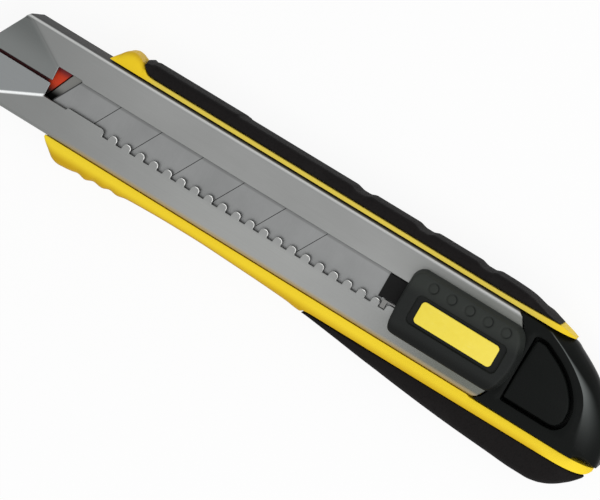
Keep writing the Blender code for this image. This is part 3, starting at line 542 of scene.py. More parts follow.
def slider_light_and_shade(board, colour):
    """Painted shade blackens the sunken panel, the slope on the edge side, and each ring's groove, most on its rear
    side.
    Painted light pales the spine side."""
    x, y, z = millimetres(board)
    place = (x - slide_centre) / ring_pitch + ring_count / 2
    off = (place.fraction() - 0.5) * ring_pitch
    reach = (off * off + (y - ring_y) * (y - ring_y)) ** 0.5
    groove = board.fade(abs(reach - ring_radius), 0.05, 0.3) * (place > 0) * (place < ring_count)
    rear = board.band(off / reach, -0.6, 0.5)
    sunk = board.band(slide_high / mm - z, 0.35, 0.8) * (abs(y) < 5) * (abs(x - slide_centre) < 15)
    return board.coats(
        colour,
        # painted light: paler on the spine side
        (board.band(0 - y, 3, 7) * 0.75, (52, 55, 52)),
        # painted shade in each ring's groove, most on its rear side
        (groove * (0.7 - 0.55 * rear), (8, 9, 9)),
        # painted shade in the sunken panel
        (sunk * 0.45, (14, 15, 15)),
        # painted shade on the slope of the edge side
        (board.band(y, 5.8, 8.4) * 0.8, (18, 19, 18)),
    )


crest_reach = 20.0


def crest_highlight(board, colour):
    """Paints a highlight on the rim, from the crest outwards, over a width that grows round the cap. The cap's UV
    map holds the way round it, from 0 to 1, and the distance in from the crest, as a half plus a share of a fixed
    reach."""
    uv = board.node("TexCoord", output="UV")
    round_it, inwards = (board.node("SeparateXYZ", None, {"Vector": uv}, axis) for axis in (0, 1))
    outwards = (0.5 - inwards) * crest_reach
    width = 0.3 + round_it ** 3 * 32
    soft = 0.1 + (round_it - 0.5).at_least(0.0) * 10
    # painted highlight on the rim beside the crest
    painted_highlight = board.fade(outwards / width, 0.0, 1.0) * board.band(outwards, 0 - soft, 0.05)
    strength = board.band(round_it, 0.0, 0.05) * board.fade(round_it, 0.36, 0.70)
    return board.coats(colour, (painted_highlight * strength, (104, 108, 107)))


dark_plastic("slider_plastic", (34, 36, 35), (42, 44, 43), 0.48, 2100.0, 0.05, 0.08, slider_light_and_shade)
dark_plastic("cap_plastic", (15, 17, 16), (20, 22, 21), 0.34, 2600.0, 0.02, 0.05, crest_highlight)
dark_plastic("carrier_plastic", (14, 14, 14), (24, 24, 24), 0.50, 2000.0, 0.03, 0.1)
dark_plastic("tray_plastic", (62, 62, 65), (74, 74, 77), 0.48, 1900.0, 0.03, 0.2)

# %% [markdown]
# ## Red guide and yellow plate
#
# Both are small clear colours. The red one is a glass filled plastic, so pale fibres show in it as short streaks,
# and painted shade darkens it under the nose and towards both ends of the window.
# The plate on the slider is a thin coloured sheet under a hard varnish, smooth, with hair scratches.


# %% Red and plate
def red_recipe(board):
    x, y, z = millimetres(board)
    fibre = board.band(board.noise(3600.0, 2.0, 0.6, (0.15, 1.0, 1.0), (0.0, 0.0, 0.7)), 0.62, 0.75)
    grain = board.noise(2300.0, 2.0)
    colour = board.coats(
        board.blend(board.noise(120.0, 2.0), srgb(216, 66, 26), srgb(200, 54, 22)),
        (fibre * 0.2, (214, 120, 92)),
        # painted shade under both edges of the window: dark red on the spine side, black on the edge side
        (board.band(0 - y, 2.0, 4.4) * 0.85, (84, 16, 34)),
        (board.band(y, -0.4, 3.2), (10, 7, 7)),
        # painted shade under the nose
        (board.band(x, 80.3, 82.3), (60, 12, 15)),
    )
    return {"Base Color": colour, "Roughness": 0.38 + 0.14 * grain, "Normal": board.relief(grain, 0.02 * mm)}


def plate_recipe(board):
    ink = board.noise(900.0, 3.0, 0.6)
    marks = scratches(board, 2100.0, 0.35).at_least(scratches(board, 1900.0, -0.2))
    colour = board.blend(board.band(ink, 0.3, 0.7), srgb(244, 223, 78), srgb(242, 220, 74))
    colour = board.coats(colour, (marks * 0.4, (250, 238, 150)))
    rough = 0.26 + 0.08 * ink + 0.2 * marks
    return {"Base Color": colour, "Roughness": rough, "Normal": board.relief(ink, 0.006 * mm)}


finish("red_plastic", {"Specular IOR Level": 0.25}, red_recipe)
finish("label_yellow", {"Specular IOR Level": 0.3}, plate_recipe)

# %% [markdown]
# ## Tools for moulded shapes
#
# A moulding has a cross section that changes slowly along the handle. So each shape here is a stack of closed
# sections, held as one numpy array, and faces join each section to the next. The CAD model has the same outlines
# with a few flat facets. These have enough sections and arc points to look round close up.


# %% Shape tools
hull_height = 8.0 * mm


def cubic_through(table):
    """y(x) through rows of (x, y). Each span is a cubic whose end slopes are the harmonic mean of the
    neighbouring chords' slopes, or level at a peak, so the curve never overshoots its rows."""
    xs, ys = np.array(sorted(table)).T
    step = np.diff(xs)
    chord = np.diff(ys) / step
    product = chord[:-1] * chord[1:]
    total = np.where(product > 0, chord[:-1] + chord[1:], 1.0)
    slope = np.concatenate([chord[:1], np.where(product > 0, 2 * product / total, 0.0), chord[-1:]])

    def value(x):
        x = np.clip(np.asarray(x, float), xs[0], xs[-1])
        k = np.clip(np.searchsorted(xs, x) - 1, 0, len(step) - 1)
        t = (x - xs[k]) / step[k]
        start = (1 + 2 * t) * (1 - t) ** 2 * ys[k] + t * (1 - t) ** 2 * step[k] * slope[k]
        return start + t * t * (3 - 2 * t) * ys[k + 1] + t * t * (t - 1) * step[k] * slope[k + 1]

    return value


def ease(value, low, high):
    """Smooth step: 0 below low, 1 above high, and 3t^2 - 2t^3 between."""
    t = np.clip((value - low) / (high - low), 0.0, 1.0)
    return t * t * (3 - 2 * t)


def spot(across, up, count):
    """One point of a section at each station, from numbers or arrays."""
    return np.stack([np.broadcast_to(across, (count,)), np.broadcast_to(up, (count,))], axis=-1)[:, None]


def arc(across, up, radius, first, last, points):
    """Points of a round corner at each station: centre plus radius times cosine and sine of the angle."""
    angle = np.radians(np.linspace(first, last, points))
    across, up, radius = (np.asarray(v, float).reshape(-1, 1) for v in (across, up, radius))
    return np.stack(np.broadcast_arrays(across + radius * np.cos(angle), up + radius * np.sin(angle)), axis=-1)


def stood_along_x(x, section, side=1, lean=0.0, slant=0.0):
    """Sections in the YZ plane, stood at their stations along X, mirrored to -Y where side is -1. Below the
    hull's height a section leans along X, by so much at the ground and evenly less above. A slant moves a
    section along X from its top down: by nothing at the top and by all of it from 6 mm below."""
    low = np.maximum(0.0, 1 - section[..., 1] / hull_height)
    fallen = ease(section[..., 1].max(axis=1, keepdims=True) - section[..., 1], 0.0, 6 * mm)
    lean, slant = (np.broadcast_to(v, np.shape(x))[:, None] for v in (lean, slant))
    along = np.asarray(x)[:, None] + lean * low + slant * fallen
    return np.stack([along, side * section[..., 0], section[..., 1]], axis=-1)


def joined(sections):
    """Points and faces of a skin over closed sections: quads between neighbours and a face at each end."""
    count, around = sections.shape[:2]
    index = np.arange(count * around).reshape(count, around)
    after = np.roll(index, -1, axis=1)
    quads = np.stack([index[:-1], after[:-1], after[1:], index[1:]], axis=-1).reshape(-1, 4)
    return sections.reshape(-1, 3), [*quads.tolist(), index[0].tolist(), index[-1].tolist()]


def piece(name, shells, finish_name, body, node, crease=40):
    """Makes one object of closed shells, faces it outwards and puts it on its body in place of a CAD node."""
    points = np.concatenate([shell[0] for shell in shells])
    starts = np.cumsum([0] + [len(shell[0]) for shell in shells[:-1]])
    faces = [[k + start for k in face] for start, shell in zip(starts, shells) for face in shell[1]]
    mesh = bpy.data.meshes.new(name)
    mesh.from_pydata(points.tolist(), [], faces)
    work = bmesh.new()
    work.from_mesh(mesh)
    bmesh.ops.remove_doubles(work, verts=work.verts, dist=1e-7)
    bmesh.ops.recalc_face_normals(work, faces=work.faces)
    work.to_mesh(mesh)
    work.free()
    mesh.shade_smooth()
    mesh.set_sharp_from_angle(angle=math.radians(crease))
    mesh.materials.append(finishes[finish_name])
    made = bpy.data.objects.new(name, mesh)
    bpy.context.scene.collection.objects.link(made)
    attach(made, body)
    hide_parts(node)
    size = (points.max(axis=0) - points.min(axis=0)) / mm
    print(name, "has", len(mesh.polygons), "faces and measures", size.round(1).tolist(), "mm")
    return made


# %% [markdown]
# ## Handle
#
# The yellow moulding is a trough: a floor, and two walls whose outer side swells at the nose and thins to a strip
# where rubber covers it. Each wall's section is a rounded outer side, a flat top, and inside it the ledge for the
# channel and the rail that keeps the spare blades down. The outline tables give how far the wall stands out. On the
# spine side both ends lean in below the widest line, like a boat's hull, and at the rear the tops fall away.

# %% Handle walls
ledge = channel_top - 6.8 * mm
floor_top = 2.0 * mm
wall_inside = channel_half + 0.5 * mm
rail_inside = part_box("blade")[1][1] + 0.4 * mm
cavity_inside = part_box("magazine_tray")[1][1] + 0.3 * mm
floor_edge = rail_inside - 0.5 * mm
rear_room = -72.1 * mm
lip_close = 0.3 * mm

upper_wall_table = [
    (68.4, 0.8), (67.9, 1.6), (66.9, 2.9), (65.7, 4.3), (64.3, 5.1), (62.8, 5.4), (61.4, 5.25), (60.2, 4.85),
    (59.4, 4.5), (58.9, 4.1), (58.4, 3.45), (57.5, 2.6), (56.4, 1.95), (55.2, 1.75), (54.0, 1.7),
    (-60.0, 1.7), (-70.0, 1.9), (-76.0, 2.1), (-80.7, 2.25), (-83.4, 1.7), (-86.0, 0.8),
]
lower_wall_table = [
    (74.6, 0.9), (73.5, 2.7), (71.8, 4.3), (69.8, 5.7), (67.7, 6.2), (65.4, 6.05), (63.3, 5.8), (61.2, 5.4),
    (58.6, 5.9), (55.9, 5.05), (53.2, 5.4), (50.5, 4.65), (48.2, 5.0), (45.5, 4.5), (42.6, 4.3), (30.9, 3.95),
    (22.2, 3.9), (10.6, 4.2), (-9.6, 5.05), (-13.8, 5.5), (-14.6, 5.4), (-15.8, 4.55), (-18.0, 4.3),
    (-38.6, 4.2), (-94.6, 3.9), (-102.9, 3.65), (-106.0, 3.3), (-107.4, 2.7), (-108.2, 1.6),
]
upper_wall = cubic_through(upper_wall_table)
lower_wall = cubic_through(lower_wall_table)


def stations(table, spacing):
    """Places along X, in millimetres, from a table's front to its rear, with the rear room's step twice."""
    front = max(row[0] for row in table)
    rear = min(row[0] for row in table)
    even = np.linspace(front, rear, int((front - rear) / spacing) + 1)
    step = rear_room / mm + np.array([0.005, -0.005])
    return np.sort(np.concatenate([even, step]))[::-1]


def leaning(x, side):
    """How far a side leans along X at the ground: 9 mm forwards at the spine's tail, 3 mm backwards at its front
    lobe and 5 mm forwards at the edge side's tail, each growing as the square of the way into that end."""
    if side > 0:
        return 5.0 * mm * np.maximum(0.0, (-98.0 - x) / 10.2) ** 2
    tail = np.maximum(0.0, (-62.0 - x) / 24.0) ** 2
    lobe = np.maximum(0.0, (x - 58.5) / 10.0) ** 2
    return (9.0 * tail - 3.0 * lobe) * mm


def slanting(x, side):
    """How far the joint between the spine's front lobe and its rubber slants forwards down the outer side."""
    return (1.7 * mm if side < 0 else 0.0) * ease(x, 46.0, 58.0) * (1 - ease(x, 60.0, 68.0))


def rear_fall(x, start, run, depth):
    """How far a top falls behind a start, along a quarter of an ellipse of that run and depth."""
    reach = np.clip((start - x) / run, 0.0, 1.0)
    return depth * mm * (1 - np.sqrt(1 - reach * reach))


def upper_fall(x):
    return rear_fall(x, -78.0, 8.4, 6.0)


def lower_fall(x):
    return rear_fall(x, -98.0, 10.4, 8.0)


def tucked(outer, foot, low, high, points=7):
    """The outer side from the foot up to the hull's widest line: it swells out as 1 - (1 - t)^2."""
    t = np.linspace(0, 1, points + 1)[None, 1:]
    outer, foot, low, high = (np.asarray(v, float).reshape(-1, 1) for v in (outer, foot, low, high))
    across = outer - (outer - foot) * (1 - t) ** 2
    return np.stack(np.broadcast_arrays(across, low + (high - low) * t), axis=-1)


def wall_sections(x, side, stand_off, roundness, tuck, top):
    """A wall's sections: x, stand-off and roundness in millimetres give the outer arcs, and the inner corners
    stay fixed, except behind the rear room's step, where the ledge and the rail are cut back to the wall."""
    count = len(x)
    outer = channel_half + stand_off * mm
    top_round = np.clip(np.minimum(np.minimum(roundness, 0.85 * stand_off), stand_off - 0.65), 0.1, None) * mm
    low_round = np.minimum(1.4, 0.85 * stand_off) * mm
    foot = outer - tuck * stand_off * mm
    behind = x * mm < rear_room
    shelf = np.minimum(ledge, top - 1.0 * mm)
    rail = np.where(behind, wall_inside, rail_inside)
    cavity = np.where(behind, wall_inside, cavity_inside)
    lip = 0.12 * mm
    near = wall_inside - (lip_close if side > 0 else 0.0) * ease(x, -68.6, -67.8)
    section = np.concatenate([
        spot(floor_edge, 0.0, count),
        arc(foot - low_round, low_round, low_round, -90, 0, 6),
        tucked(outer, foot, low_round, np.minimum(hull_height, top - 1.5 * mm - top_round)),
        arc(outer - top_round, top - top_round, top_round, 0, 90, 12),
        arc(near + lip, top - lip, lip, 90, 180, 3),
        spot(near, top - 0.8 * mm, count), spot(wall_inside, top - 0.9 * mm, count),
        spot(wall_inside, shelf, count), spot(rail, shelf, count), spot(rail, shelf - 0.6 * mm, count),
        spot(cavity, shelf - 0.6 * mm, count), spot(cavity, floor_top, count), spot(floor_edge, floor_top, count),
    ], axis=1)
    return stood_along_x(x * mm, section, side, leaning(x, side), slanting(x, side))


upper_x = stations(upper_wall_table, 0.5)
upper_round = 0.45 + 2.55 * ease(upper_x, 57.5, 59.0)
lower_x = stations(lower_wall_table, 0.5)
lower_round = 0.45 + 2.35 * ease(lower_x, -16.5, -13.5)
upper_tuck = 0.4 * ease(upper_x, 58.0, 59.5)
walls = [
    joined(wall_sections(
        upper_x, -1, upper_wall(upper_x), upper_round, upper_tuck, handle_top - upper_fall(upper_x))),
    joined(wall_sections(lower_x, 1, lower_wall(lower_x), lower_round, 0.0, handle_top - lower_fall(lower_x))),
]
print("wall stations:", len(upper_x), "and", len(lower_x))

# %% [markdown]
# The floor closes the trough below, and a low wall closes the front of the magazine. The floor's rear edge follows
# the end cap. Its sections are its outline at two heights, and the front wall's upper edges have a small chamfer.

# %% Handle floor and front wall
cap_outer_points = np.array([
    (-72.4, -10.3), (-71.4, -12.0), (-69.4, -14.2), (-76.4, -14.2), (-80.4, -14.2), (-86.0, -14.2),
    (-88.9, -12.9), (-91.8, -11.4), (-94.6, -9.8), (-97.1, -8.1), (-99.9, -5.7), (-102.5, -2.8),
    (-104.9, 1.0), (-106.9, 5.1), (-108.4, 9.3), (-109.0, 12.5), (-109.0, 14.2), (-69.4, 14.2),
    (-71.2, 12.6), (-72.4, 10.3),
])
cap_hull = 2.2


def through(points, steps):
    """An open curve through points: each span is the cubic whose end slopes are half of the chord across
    the neighbouring points, taken at so many steps."""
    points = np.asarray(points, float)
    padded = np.concatenate([2 * points[:1] - points[1:2], points, 2 * points[-1:] - points[-2:-1]])
    slope = (padded[2:] - padded[:-2]) / 2
    t = np.linspace(0, 1, steps, endpoint=False)[None, :, None]
    start, end = points[:-1, None], points[1:, None]
    curve = (1 + 2 * t) * (1 - t) ** 2 * start + t * (1 - t) ** 2 * slope[:-1, None]
    curve = curve + t * t * (3 - 2 * t) * end + t * t * (t - 1) * slope[1:, None]
    return np.concatenate([curve.reshape(-1, 2), points[-1:]])


def stacked(loops, heights):
    """Closed plan outlines set at heights, as sections."""
    levels = np.broadcast_to(np.asarray(heights, float)[:, None, None], (*loops.shape[:2], 1))
    return np.concatenate([loops, levels], axis=-1)


def inset(loop, distance):
    """A closed, anticlockwise or clockwise outline moved inwards along its own normals."""
    tangent = np.roll(loop, -1, axis=0) - np.roll(loop, 1, axis=0)
    normal = np.stack([tangent[:, 1], -tangent[:, 0]], axis=-1)
    normal /= np.linalg.norm(normal, axis=1)[:, None]
    after = np.roll(loop, -1, axis=0)
    area = np.sum(loop[:, 0] * after[:, 1] - loop[:, 1] * after[:, 0])
    return loop - np.sign(area) * normal * distance


floor_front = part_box("magazine_tray")[1][0] + 2.5 * mm
floor_reach = (floor_edge + 0.3 * mm) / mm
rear_edge = inset(np.concatenate([through(cap_outer_points[5:16], 8), [(-80.0, 14.0)]]), cap_hull + 0.4)
floor_ring = np.concatenate([
    [(floor_front / mm, -floor_reach), (-80.0, -floor_reach)], rear_edge[2:-4],
    [(-104.5, floor_reach), (floor_front / mm + 4.0, floor_reach)],
]) * mm
skin_depth = 0.02 * mm
floor_heights = [skin_depth, floor_top - skin_depth]
floor_plate = joined(stacked(np.stack([floor_ring, floor_ring]), floor_heights))
wall_low, wall_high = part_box("handle_body")[0][2] + 0.5 * mm, ledge - 0.1 * mm
front_x = np.array([floor_front - 2.2 * mm, floor_front - 2.0 * mm, floor_front - 0.2 * mm, floor_front])
front_in = np.array([0.2, 0.0, 0.0, 0.2]) * mm
front_section = np.concatenate([
    spot(cavity_inside, wall_low, 4), spot(cavity_inside, wall_high - front_in, 4),
    spot(-cavity_inside, wall_high - front_in, 4), spot(-cavity_inside, wall_low, 4),
], axis=1)
front_wall = joined(stood_along_x(front_x, front_section))
piece("handle_shell", [*walls, floor_plate, front_wall], "yellow_plastic", "handle", "handle_body", 35)

# %% [markdown]
# ## Rubber grips
#
# Each grip is a bar of rubber whose inner side follows the yellow wall at a fixed gap and whose outer side is
# round. The spine's grip has a raised pad at the front, whose rear end runs slantwise over the round, and three
# scallops for the fingers. The edge side's grip is a plain wedge that fills the palm.

# %% Grips
grip_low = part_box("upper_grip")[0][2]
grip_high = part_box("lower_grip")[1][2]
upper_grip_table = [
    (58.6, 4.8), (57.2, 4.95), (55.8, 5.1), (24.8, 5.15), (-60.9, 5.2), (-66.5, 5.0), (-69.9, 4.65),
    (-73.5, 3.8), (-76.8, 2.95), (-80.6, 2.5),
]
lower_grip_table = [
    (-15.6, 5.2), (-16.2, 5.28), (-18.2, 5.52), (-26.7, 6.65), (-38.1, 8.25), (-52.3, 9.8), (-66.3, 11.0),
    (-80.4, 11.85), (-88.7, 12.3), (-92.9, 12.3), (-96.0, 11.85), (-98.5, 11.0), (-101.3, 9.5), (-104.1, 7.3),
    (-105.9, 5.4), (-106.9, 4.2),
]
scallops = (-13.2, -34.2, -54.8)
scallop_floor, scallop_half = 1.0, 3.5
scallop_depth = 0.72
pad_front = 55.5
pad_rear = 25.4
pad_slant = 4.5
pad_rise = 0.35
wall_gap = 0.3
thinnest_grip = 0.12
hull_tuck = 0.26


def beside(wall, x):
    """How far out a grip's inner side is: the wall plus the gap, taken square to the wall's own slope."""
    reach = 0.1
    slope = (wall(x + reach) - wall(x - reach)) / (2 * reach)
    return wall(x) + wall_gap * np.sqrt(1 + slope * slope)


def grip_sections(x, side, inner, outer, roundness, tuck, high, rise):
    """A grip's sections: a flat inner side with small chamfers, then two round corners. rise(x, share) lifts
    the outer skin, where share runs from 0 at the lower corner to 1 at the upper inner edge."""
    count = len(x)
    near = channel_half + inner * mm
    far = channel_half + outer * mm
    width = far - near
    radius = np.minimum(roundness * mm, 0.8 * width)
    foot = far - tuck * width
    foot_radius = np.minimum(radius, 0.8 * (foot - near))
    low_arc = arc(foot - foot_radius, grip_low + foot_radius, foot_radius, -90, 0, 9)
    side_line = tucked(far, foot, grip_low + foot_radius, np.minimum(hull_height, high - radius - 0.3 * mm))
    high_arc = arc(far - radius, high - radius, radius, 0, 90, 14)
    top = spot(near + 0.1 * width, high, count)
    skin = np.concatenate([low_arc, side_line, high_arc, top], axis=1)
    share = np.linspace(0, 1, skin.shape[1])[None]
    lift = rise(x[:, None], share) * mm
    tangent = np.gradient(skin, axis=1)
    normal = np.stack([tangent[..., 1], -tangent[..., 0]], axis=-1)
    normal /= np.maximum(np.linalg.norm(normal, axis=-1, keepdims=True), 1e-9)
    skin = skin + normal * lift[..., None]
    section = np.concatenate([
        spot(near, grip_low + wall_gap * mm, count), spot(near + 0.15 * (foot - near), grip_low, count), skin,
        spot(near, high - wall_gap * mm, count),
    ], axis=1)
    return stood_along_x(x * mm, section, side, leaning(x, side), slanting(x, side))


def pad(x, share):
    """The raised pad: up over a short ramp at its front and down at its slanted rear end."""
    fade = 1 - ease(share, 0.80, 0.97)
    rear = pad_rear + pad_slant * share
    return pad_rise * ease(x, rear, rear + 0.7) * (1 - ease(x, pad_front, pad_front + 1.4)) * fade


def no_rise(x, share):
    return 0.0 * x * share


upper_x = np.concatenate([np.linspace(58.6, 58.0, 8)[:-1], np.linspace(58.0, -80.6, 430)])
upper_outer = cubic_through(upper_grip_table)(upper_x)
blunt = np.clip((upper_x - 58.0) / 0.6, 0, 1)
upper_outer = upper_outer - 0.4 * (1 - np.sqrt(1 - blunt * blunt))
for centre in scallops:
    upper_outer = upper_outer - scallop_depth * (1 - ease(np.abs(upper_x - centre), scallop_floor, scallop_half))
upper_inner = np.minimum(beside(upper_wall, upper_x), upper_outer - thinnest_grip)
upper_tuck = hull_tuck + 0.2 * np.minimum(1.0, 4 * (np.maximum(0.0, -62.0 - upper_x) / 24.0) ** 2)
upper_high = grip_high - upper_fall(upper_x)
upper_shell = joined(grip_sections(upper_x, -1, upper_inner, upper_outer, 3.0, upper_tuck, upper_high, pad))
piece("upper_grip_rubber", [upper_shell], "black_rubber", "handle", "upper_grip", 50)

lower_x = np.linspace(-15.6, -106.9, 314)
lower_outer = cubic_through(lower_grip_table)(lower_x)
lower_inner = np.minimum(beside(lower_wall, lower_x), lower_outer - thinnest_grip)
lower_high = grip_high - lower_fall(lower_x)
lower_shell = joined(grip_sections(lower_x, 1, lower_inner, lower_outer, 3.4, 0.0, lower_high, no_rise))
piece("lower_grip_rubber", [lower_shell], "black_rubber", "handle", "lower_grip", 50)

# %% [markdown]
# ## Thumb slider
#
# The slider is a rounded block with a sunken panel and a row of ring marks. Cutting them with Booleans leaves hard
# edges, so it is a height field instead: the height is a formula of x and y, and the mesh is a set of rings that
# shrink from the outline to the middle. The side and the round edge follow the distance from the outline.


# %% Slider outline
def closed_through(points, count):
    """A closed curve through points, as that many points evenly spaced along it. x and y are each a cubic of
    the distance run along the corners, so the curve doesn't overshoot where a long side meets a short one."""
    points = np.asarray(points, float)
    ring = np.concatenate([points[-3:], points, points[:4]])
    run = np.concatenate([[0], np.cumsum(np.linalg.norm(np.diff(ring, axis=0), axis=1))])
    fine = np.linspace(run[3], run[3 + len(points)], 6000)
    dense = np.stack([cubic_through(list(zip(run, ring[:, k])))(fine) for k in (0, 1)], axis=-1)
    along = np.concatenate([[0], np.cumsum(np.linalg.norm(np.diff(dense, axis=0), axis=1))])
    places = np.linspace(0, along[-1], count, endpoint=False)
    return np.stack([np.interp(places, along, dense[:, k]) for k in (0, 1)], axis=-1)


slide_points = [
    (-38.3, -7.2), (-38.2, -2.6), (-38.2, 2.0), (-38.3, 4.6), (-38.5, 7.2), (-39.0, 9.0), (-40.2, 10.1),
    (-42.0, 10.4), (-44.5, 10.4), (-69.0, 10.4), (-71.8, 10.3), (-73.3, 9.5), (-74.6, 7.4), (-75.6, 4.2),
    (-76.1, 1.5), (-76.2, -1.4), (-75.6, -5.0), (-74.4, -8.2), (-72.9, -9.9), (-71.2, -10.6), (-69.0, -10.6),
    (-44.0, -10.6), (-41.4, -10.6), (-39.8, -9.9), (-38.8, -8.7),
]
slide_draft, slide_round = 0.7 * mm, 0.9 * mm
panel_middle = np.array([slide_centre, 0.1]) * mm
panel_half = np.array([14.7, 4.6]) * mm
panel_corner, panel_depth, panel_slope = 1.8 * mm, 0.9 * mm, 0.35 * mm
ring_x = slide_centre + ring_pitch * (np.arange(ring_count) - (ring_count - 1) / 2)
ring_depth = 0.26 * mm


def box_distance(plan, middle, half, corner):
    """Signed distance from a rounded rectangle: negative inside it."""
    reach = np.abs(plan - middle) - half + corner
    outside = np.linalg.norm(np.maximum(reach, 0.0), axis=-1)
    return outside + np.minimum(reach.max(axis=-1), 0.0) - corner


def slide_top(plan):
    """The top's height: a crown that falls as the square of y, faster on the edge side, the panel's sunken
    floor behind sloped walls, and ring grooves that are a bell curve of the distance from each circle."""
    across = plan[..., 1] / (10 * mm)
    height = slide_high - np.where(across > 0, 0.8, 0.2) * mm * across ** 2
    edge = box_distance(plan, panel_middle, panel_half, panel_corner)
    height = height - panel_depth * (1 - ease(edge, -panel_slope, 0.06 * mm))
    for x in ring_x:
        off = np.linalg.norm(plan / mm - (x, ring_y), axis=-1) - ring_radius
        height = height - ring_depth * np.exp(-((off / ring_width) ** 2))
    return height


def slide_drop(depth):
    """How far the surface lies below the top at a distance in from the outline: a steep side, then a quarter
    circle that meets the top level."""
    side = np.clip(1 - depth / slide_draft, 0.0, 1.0) * (slide_high - slide_low - slide_round - 0.2 * mm)
    reach = np.clip((depth - slide_draft) / slide_round, 0.0, 1.0)
    return side + slide_round * (1 - np.sqrt(1 - (1 - reach) ** 2))


outline = closed_through(slide_points, 480) * mm
slide_middle = np.array([-57.4 * mm, 0.0])
share = np.concatenate([np.linspace(1, 0.80, 64), np.linspace(0.80, 0.003, 116)[1:]])
loops = slide_middle + (outline - slide_middle) * share[:, None, None]
depth = np.stack([np.linalg.norm(loop[:, None] - outline[None], axis=-1).min(axis=1) for loop in loops])
height = slide_top(loops) - slide_drop(depth)
cover = np.concatenate([loops, height[..., None]], axis=-1)
foot = stacked(outline[None], [slide_low])
piece("slider_cover", [joined(np.concatenate([foot, cover]))], "slider_plastic", "slider", "thumb_slide", 60)

# %% [markdown]
# ## Plate in the slider
#
# The panel holds a thin plain plate with a rolled edge. It is the same outline at a few heights, drawn in along a
# quarter circle at the top.


# %% Plate
def rounded_loop(middle, half, corner, points):
    """A rectangle with round corners, anticlockwise."""
    quarter = np.linspace(0, np.pi / 2, points)
    loops = []
    for k, signs in enumerate(((1, 1), (-1, 1), (-1, -1), (1, -1))):
        centre = middle + np.array(signs) * (half - corner)
        angle = quarter + k * np.pi / 2
        loops.append(centre + corner * np.stack([np.cos(angle), np.sin(angle)], axis=-1))
    return np.concatenate(loops)


def rolled_plate(loop, low, high, radius, steps):
    """A plate of an outline, whose upper edge is drawn in along a quarter circle."""
    turn = np.radians(np.linspace(0, 90, steps))
    loops = [loop, *(inset(loop, radius * (1 - math.cos(a))) for a in turn)]
    return joined(stacked(np.stack(loops), [low, *(high - radius * (1 - np.sin(turn)))]))


plate_low, plate_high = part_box("slide_badge")[0][2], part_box("slide_badge")[1][2]
plate_loop = rounded_loop(panel_middle, np.array([12.55, 3.35]) * mm, 1.2 * mm, 10)
plate = rolled_plate(plate_loop, plate_low, plate_high, 0.15 * mm, 5)
piece("slider_plate", [plate], "label_yellow", "slider", "slide_badge", 50)

# %% [markdown]
# ## End cap
#
# The cap's hull swells up to its outer edge, and its rim rolls from there to a crest, inside which its top is flat,
# with a pocket for the release button. Outer edge, crest and pocket all surround one middle point, so each is a
# radius for each direction. A ring is then a mix of two radii, and the cap is one stack of rings, drawn in and up.
# A UV map marks the crest, for the painted highlight on the rim beside it.

# %% Cap
cap_crest_points = np.array([
    (-72.7, -10.1), (-71.7, -11.8), (-69.9, -13.9), (-76.4, -13.9), (-79.9, -13.3), (-84.0, -11.5),
    (-87.2, -9.8), (-90.0, -8.1), (-92.2, -6.5), (-94.0, -5.0), (-95.6, -3.4), (-97.0, -1.4),
    (-98.4, 1.2), (-99.5, 4.0), (-100.5, 8.0), (-101.2, 12.0), (-101.8, 14.1), (-69.9, 13.9),
    (-71.5, 12.4), (-72.7, 10.1),
])
button_points = [
    (-76.9, 8.6), (-77.4, 9.1), (-80.0, 9.1), (-90.5, 9.1), (-92.6, 8.9), (-94.1, 7.8), (-94.8, 6.0),
    (-94.7, 3.7), (-93.8, 1.2), (-92.2, -1.2), (-89.7, -3.9), (-86.7, -6.1), (-82.6, -8.2), (-79.4, -9.4),
    (-77.9, -9.4), (-77.3, -8.6), (-77.0, -4.6), (-76.8, 0.6),
]
cap_middle = np.array([-84.5, 1.5])
cap_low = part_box("end_cap")[0][2]
cap_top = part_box("end_cap")[1][2]
rim_low = cap_top - 7.2 * mm
shelf = channel_top - 6.5 * mm
tray_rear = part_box("magazine_tray")[0][0] - 0.3 * mm
pocket_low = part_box("button_spring")[0][2] - 0.15 * mm
button_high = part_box("release_button")[1][2]
button_low = button_high - 2.7 * mm
button_groove, front_groove = 1.3, 0.4
bends = [0, 1, 2, 16, 17, 18, 19]
corners = np.concatenate([cap_outer_points[bends], cap_crest_points[bends]]) - cap_middle
directions = np.unique(np.concatenate([
    np.linspace(-np.pi, np.pi, 720, endpoint=False), np.arctan2(corners[:, 1], corners[:, 0]),
]))


def radius_of(loop):
    """A closed outline's distance from the cap's middle in each direction, by linear interpolation."""
    off = loop - cap_middle
    angle = np.arctan2(off[:, 1], off[:, 0])
    order = np.argsort(angle)
    return np.interp(directions, angle[order], np.linalg.norm(off, axis=1)[order], period=2 * np.pi)


def finely(loop, spacing=0.05):
    """A closed polygon with points added along its straight sides."""
    closed = np.concatenate([loop, loop[:1]])
    along = np.concatenate([[0], np.cumsum(np.linalg.norm(np.diff(closed, axis=0), axis=1))])
    places = np.union1d(np.arange(0, along[-1], spacing), along[:-1])
    return np.stack([np.interp(places, along, closed[:, k]) for k in (0, 1)], axis=-1)


def cap_outline(points):
    """The cap's spine side round to its rear corner as a smooth curve, and its other sides straight."""
    return finely(np.concatenate([points[:4], through(points[4:16], 12), points[16:]]))


rays = np.stack([np.cos(directions), np.sin(directions)], axis=-1)
button_loop = closed_through(button_points, 480)
pocket_loop = inset(button_loop, -button_groove)
pocket_loop[:, 0] = np.minimum(pocket_loop[:, 0], button_loop[:, 0].max() + front_groove)
outer = radius_of(cap_outline(cap_outer_points))
crest = radius_of(cap_outline(cap_crest_points))
pocket = radius_of(finely(pocket_loop))
inward = cubic_through([(0.0, 0.0), (0.3, 0.08), (0.55, 0.26), (0.78, 0.55), (1.0, 1.0)])


def rings(radii, heights):
    """Rings about the cap's middle, from radii in millimetres for each direction and heights in metres."""
    plan = (cap_middle + np.asarray(radii)[..., None] * rays) * mm
    return stacked(plan, heights)


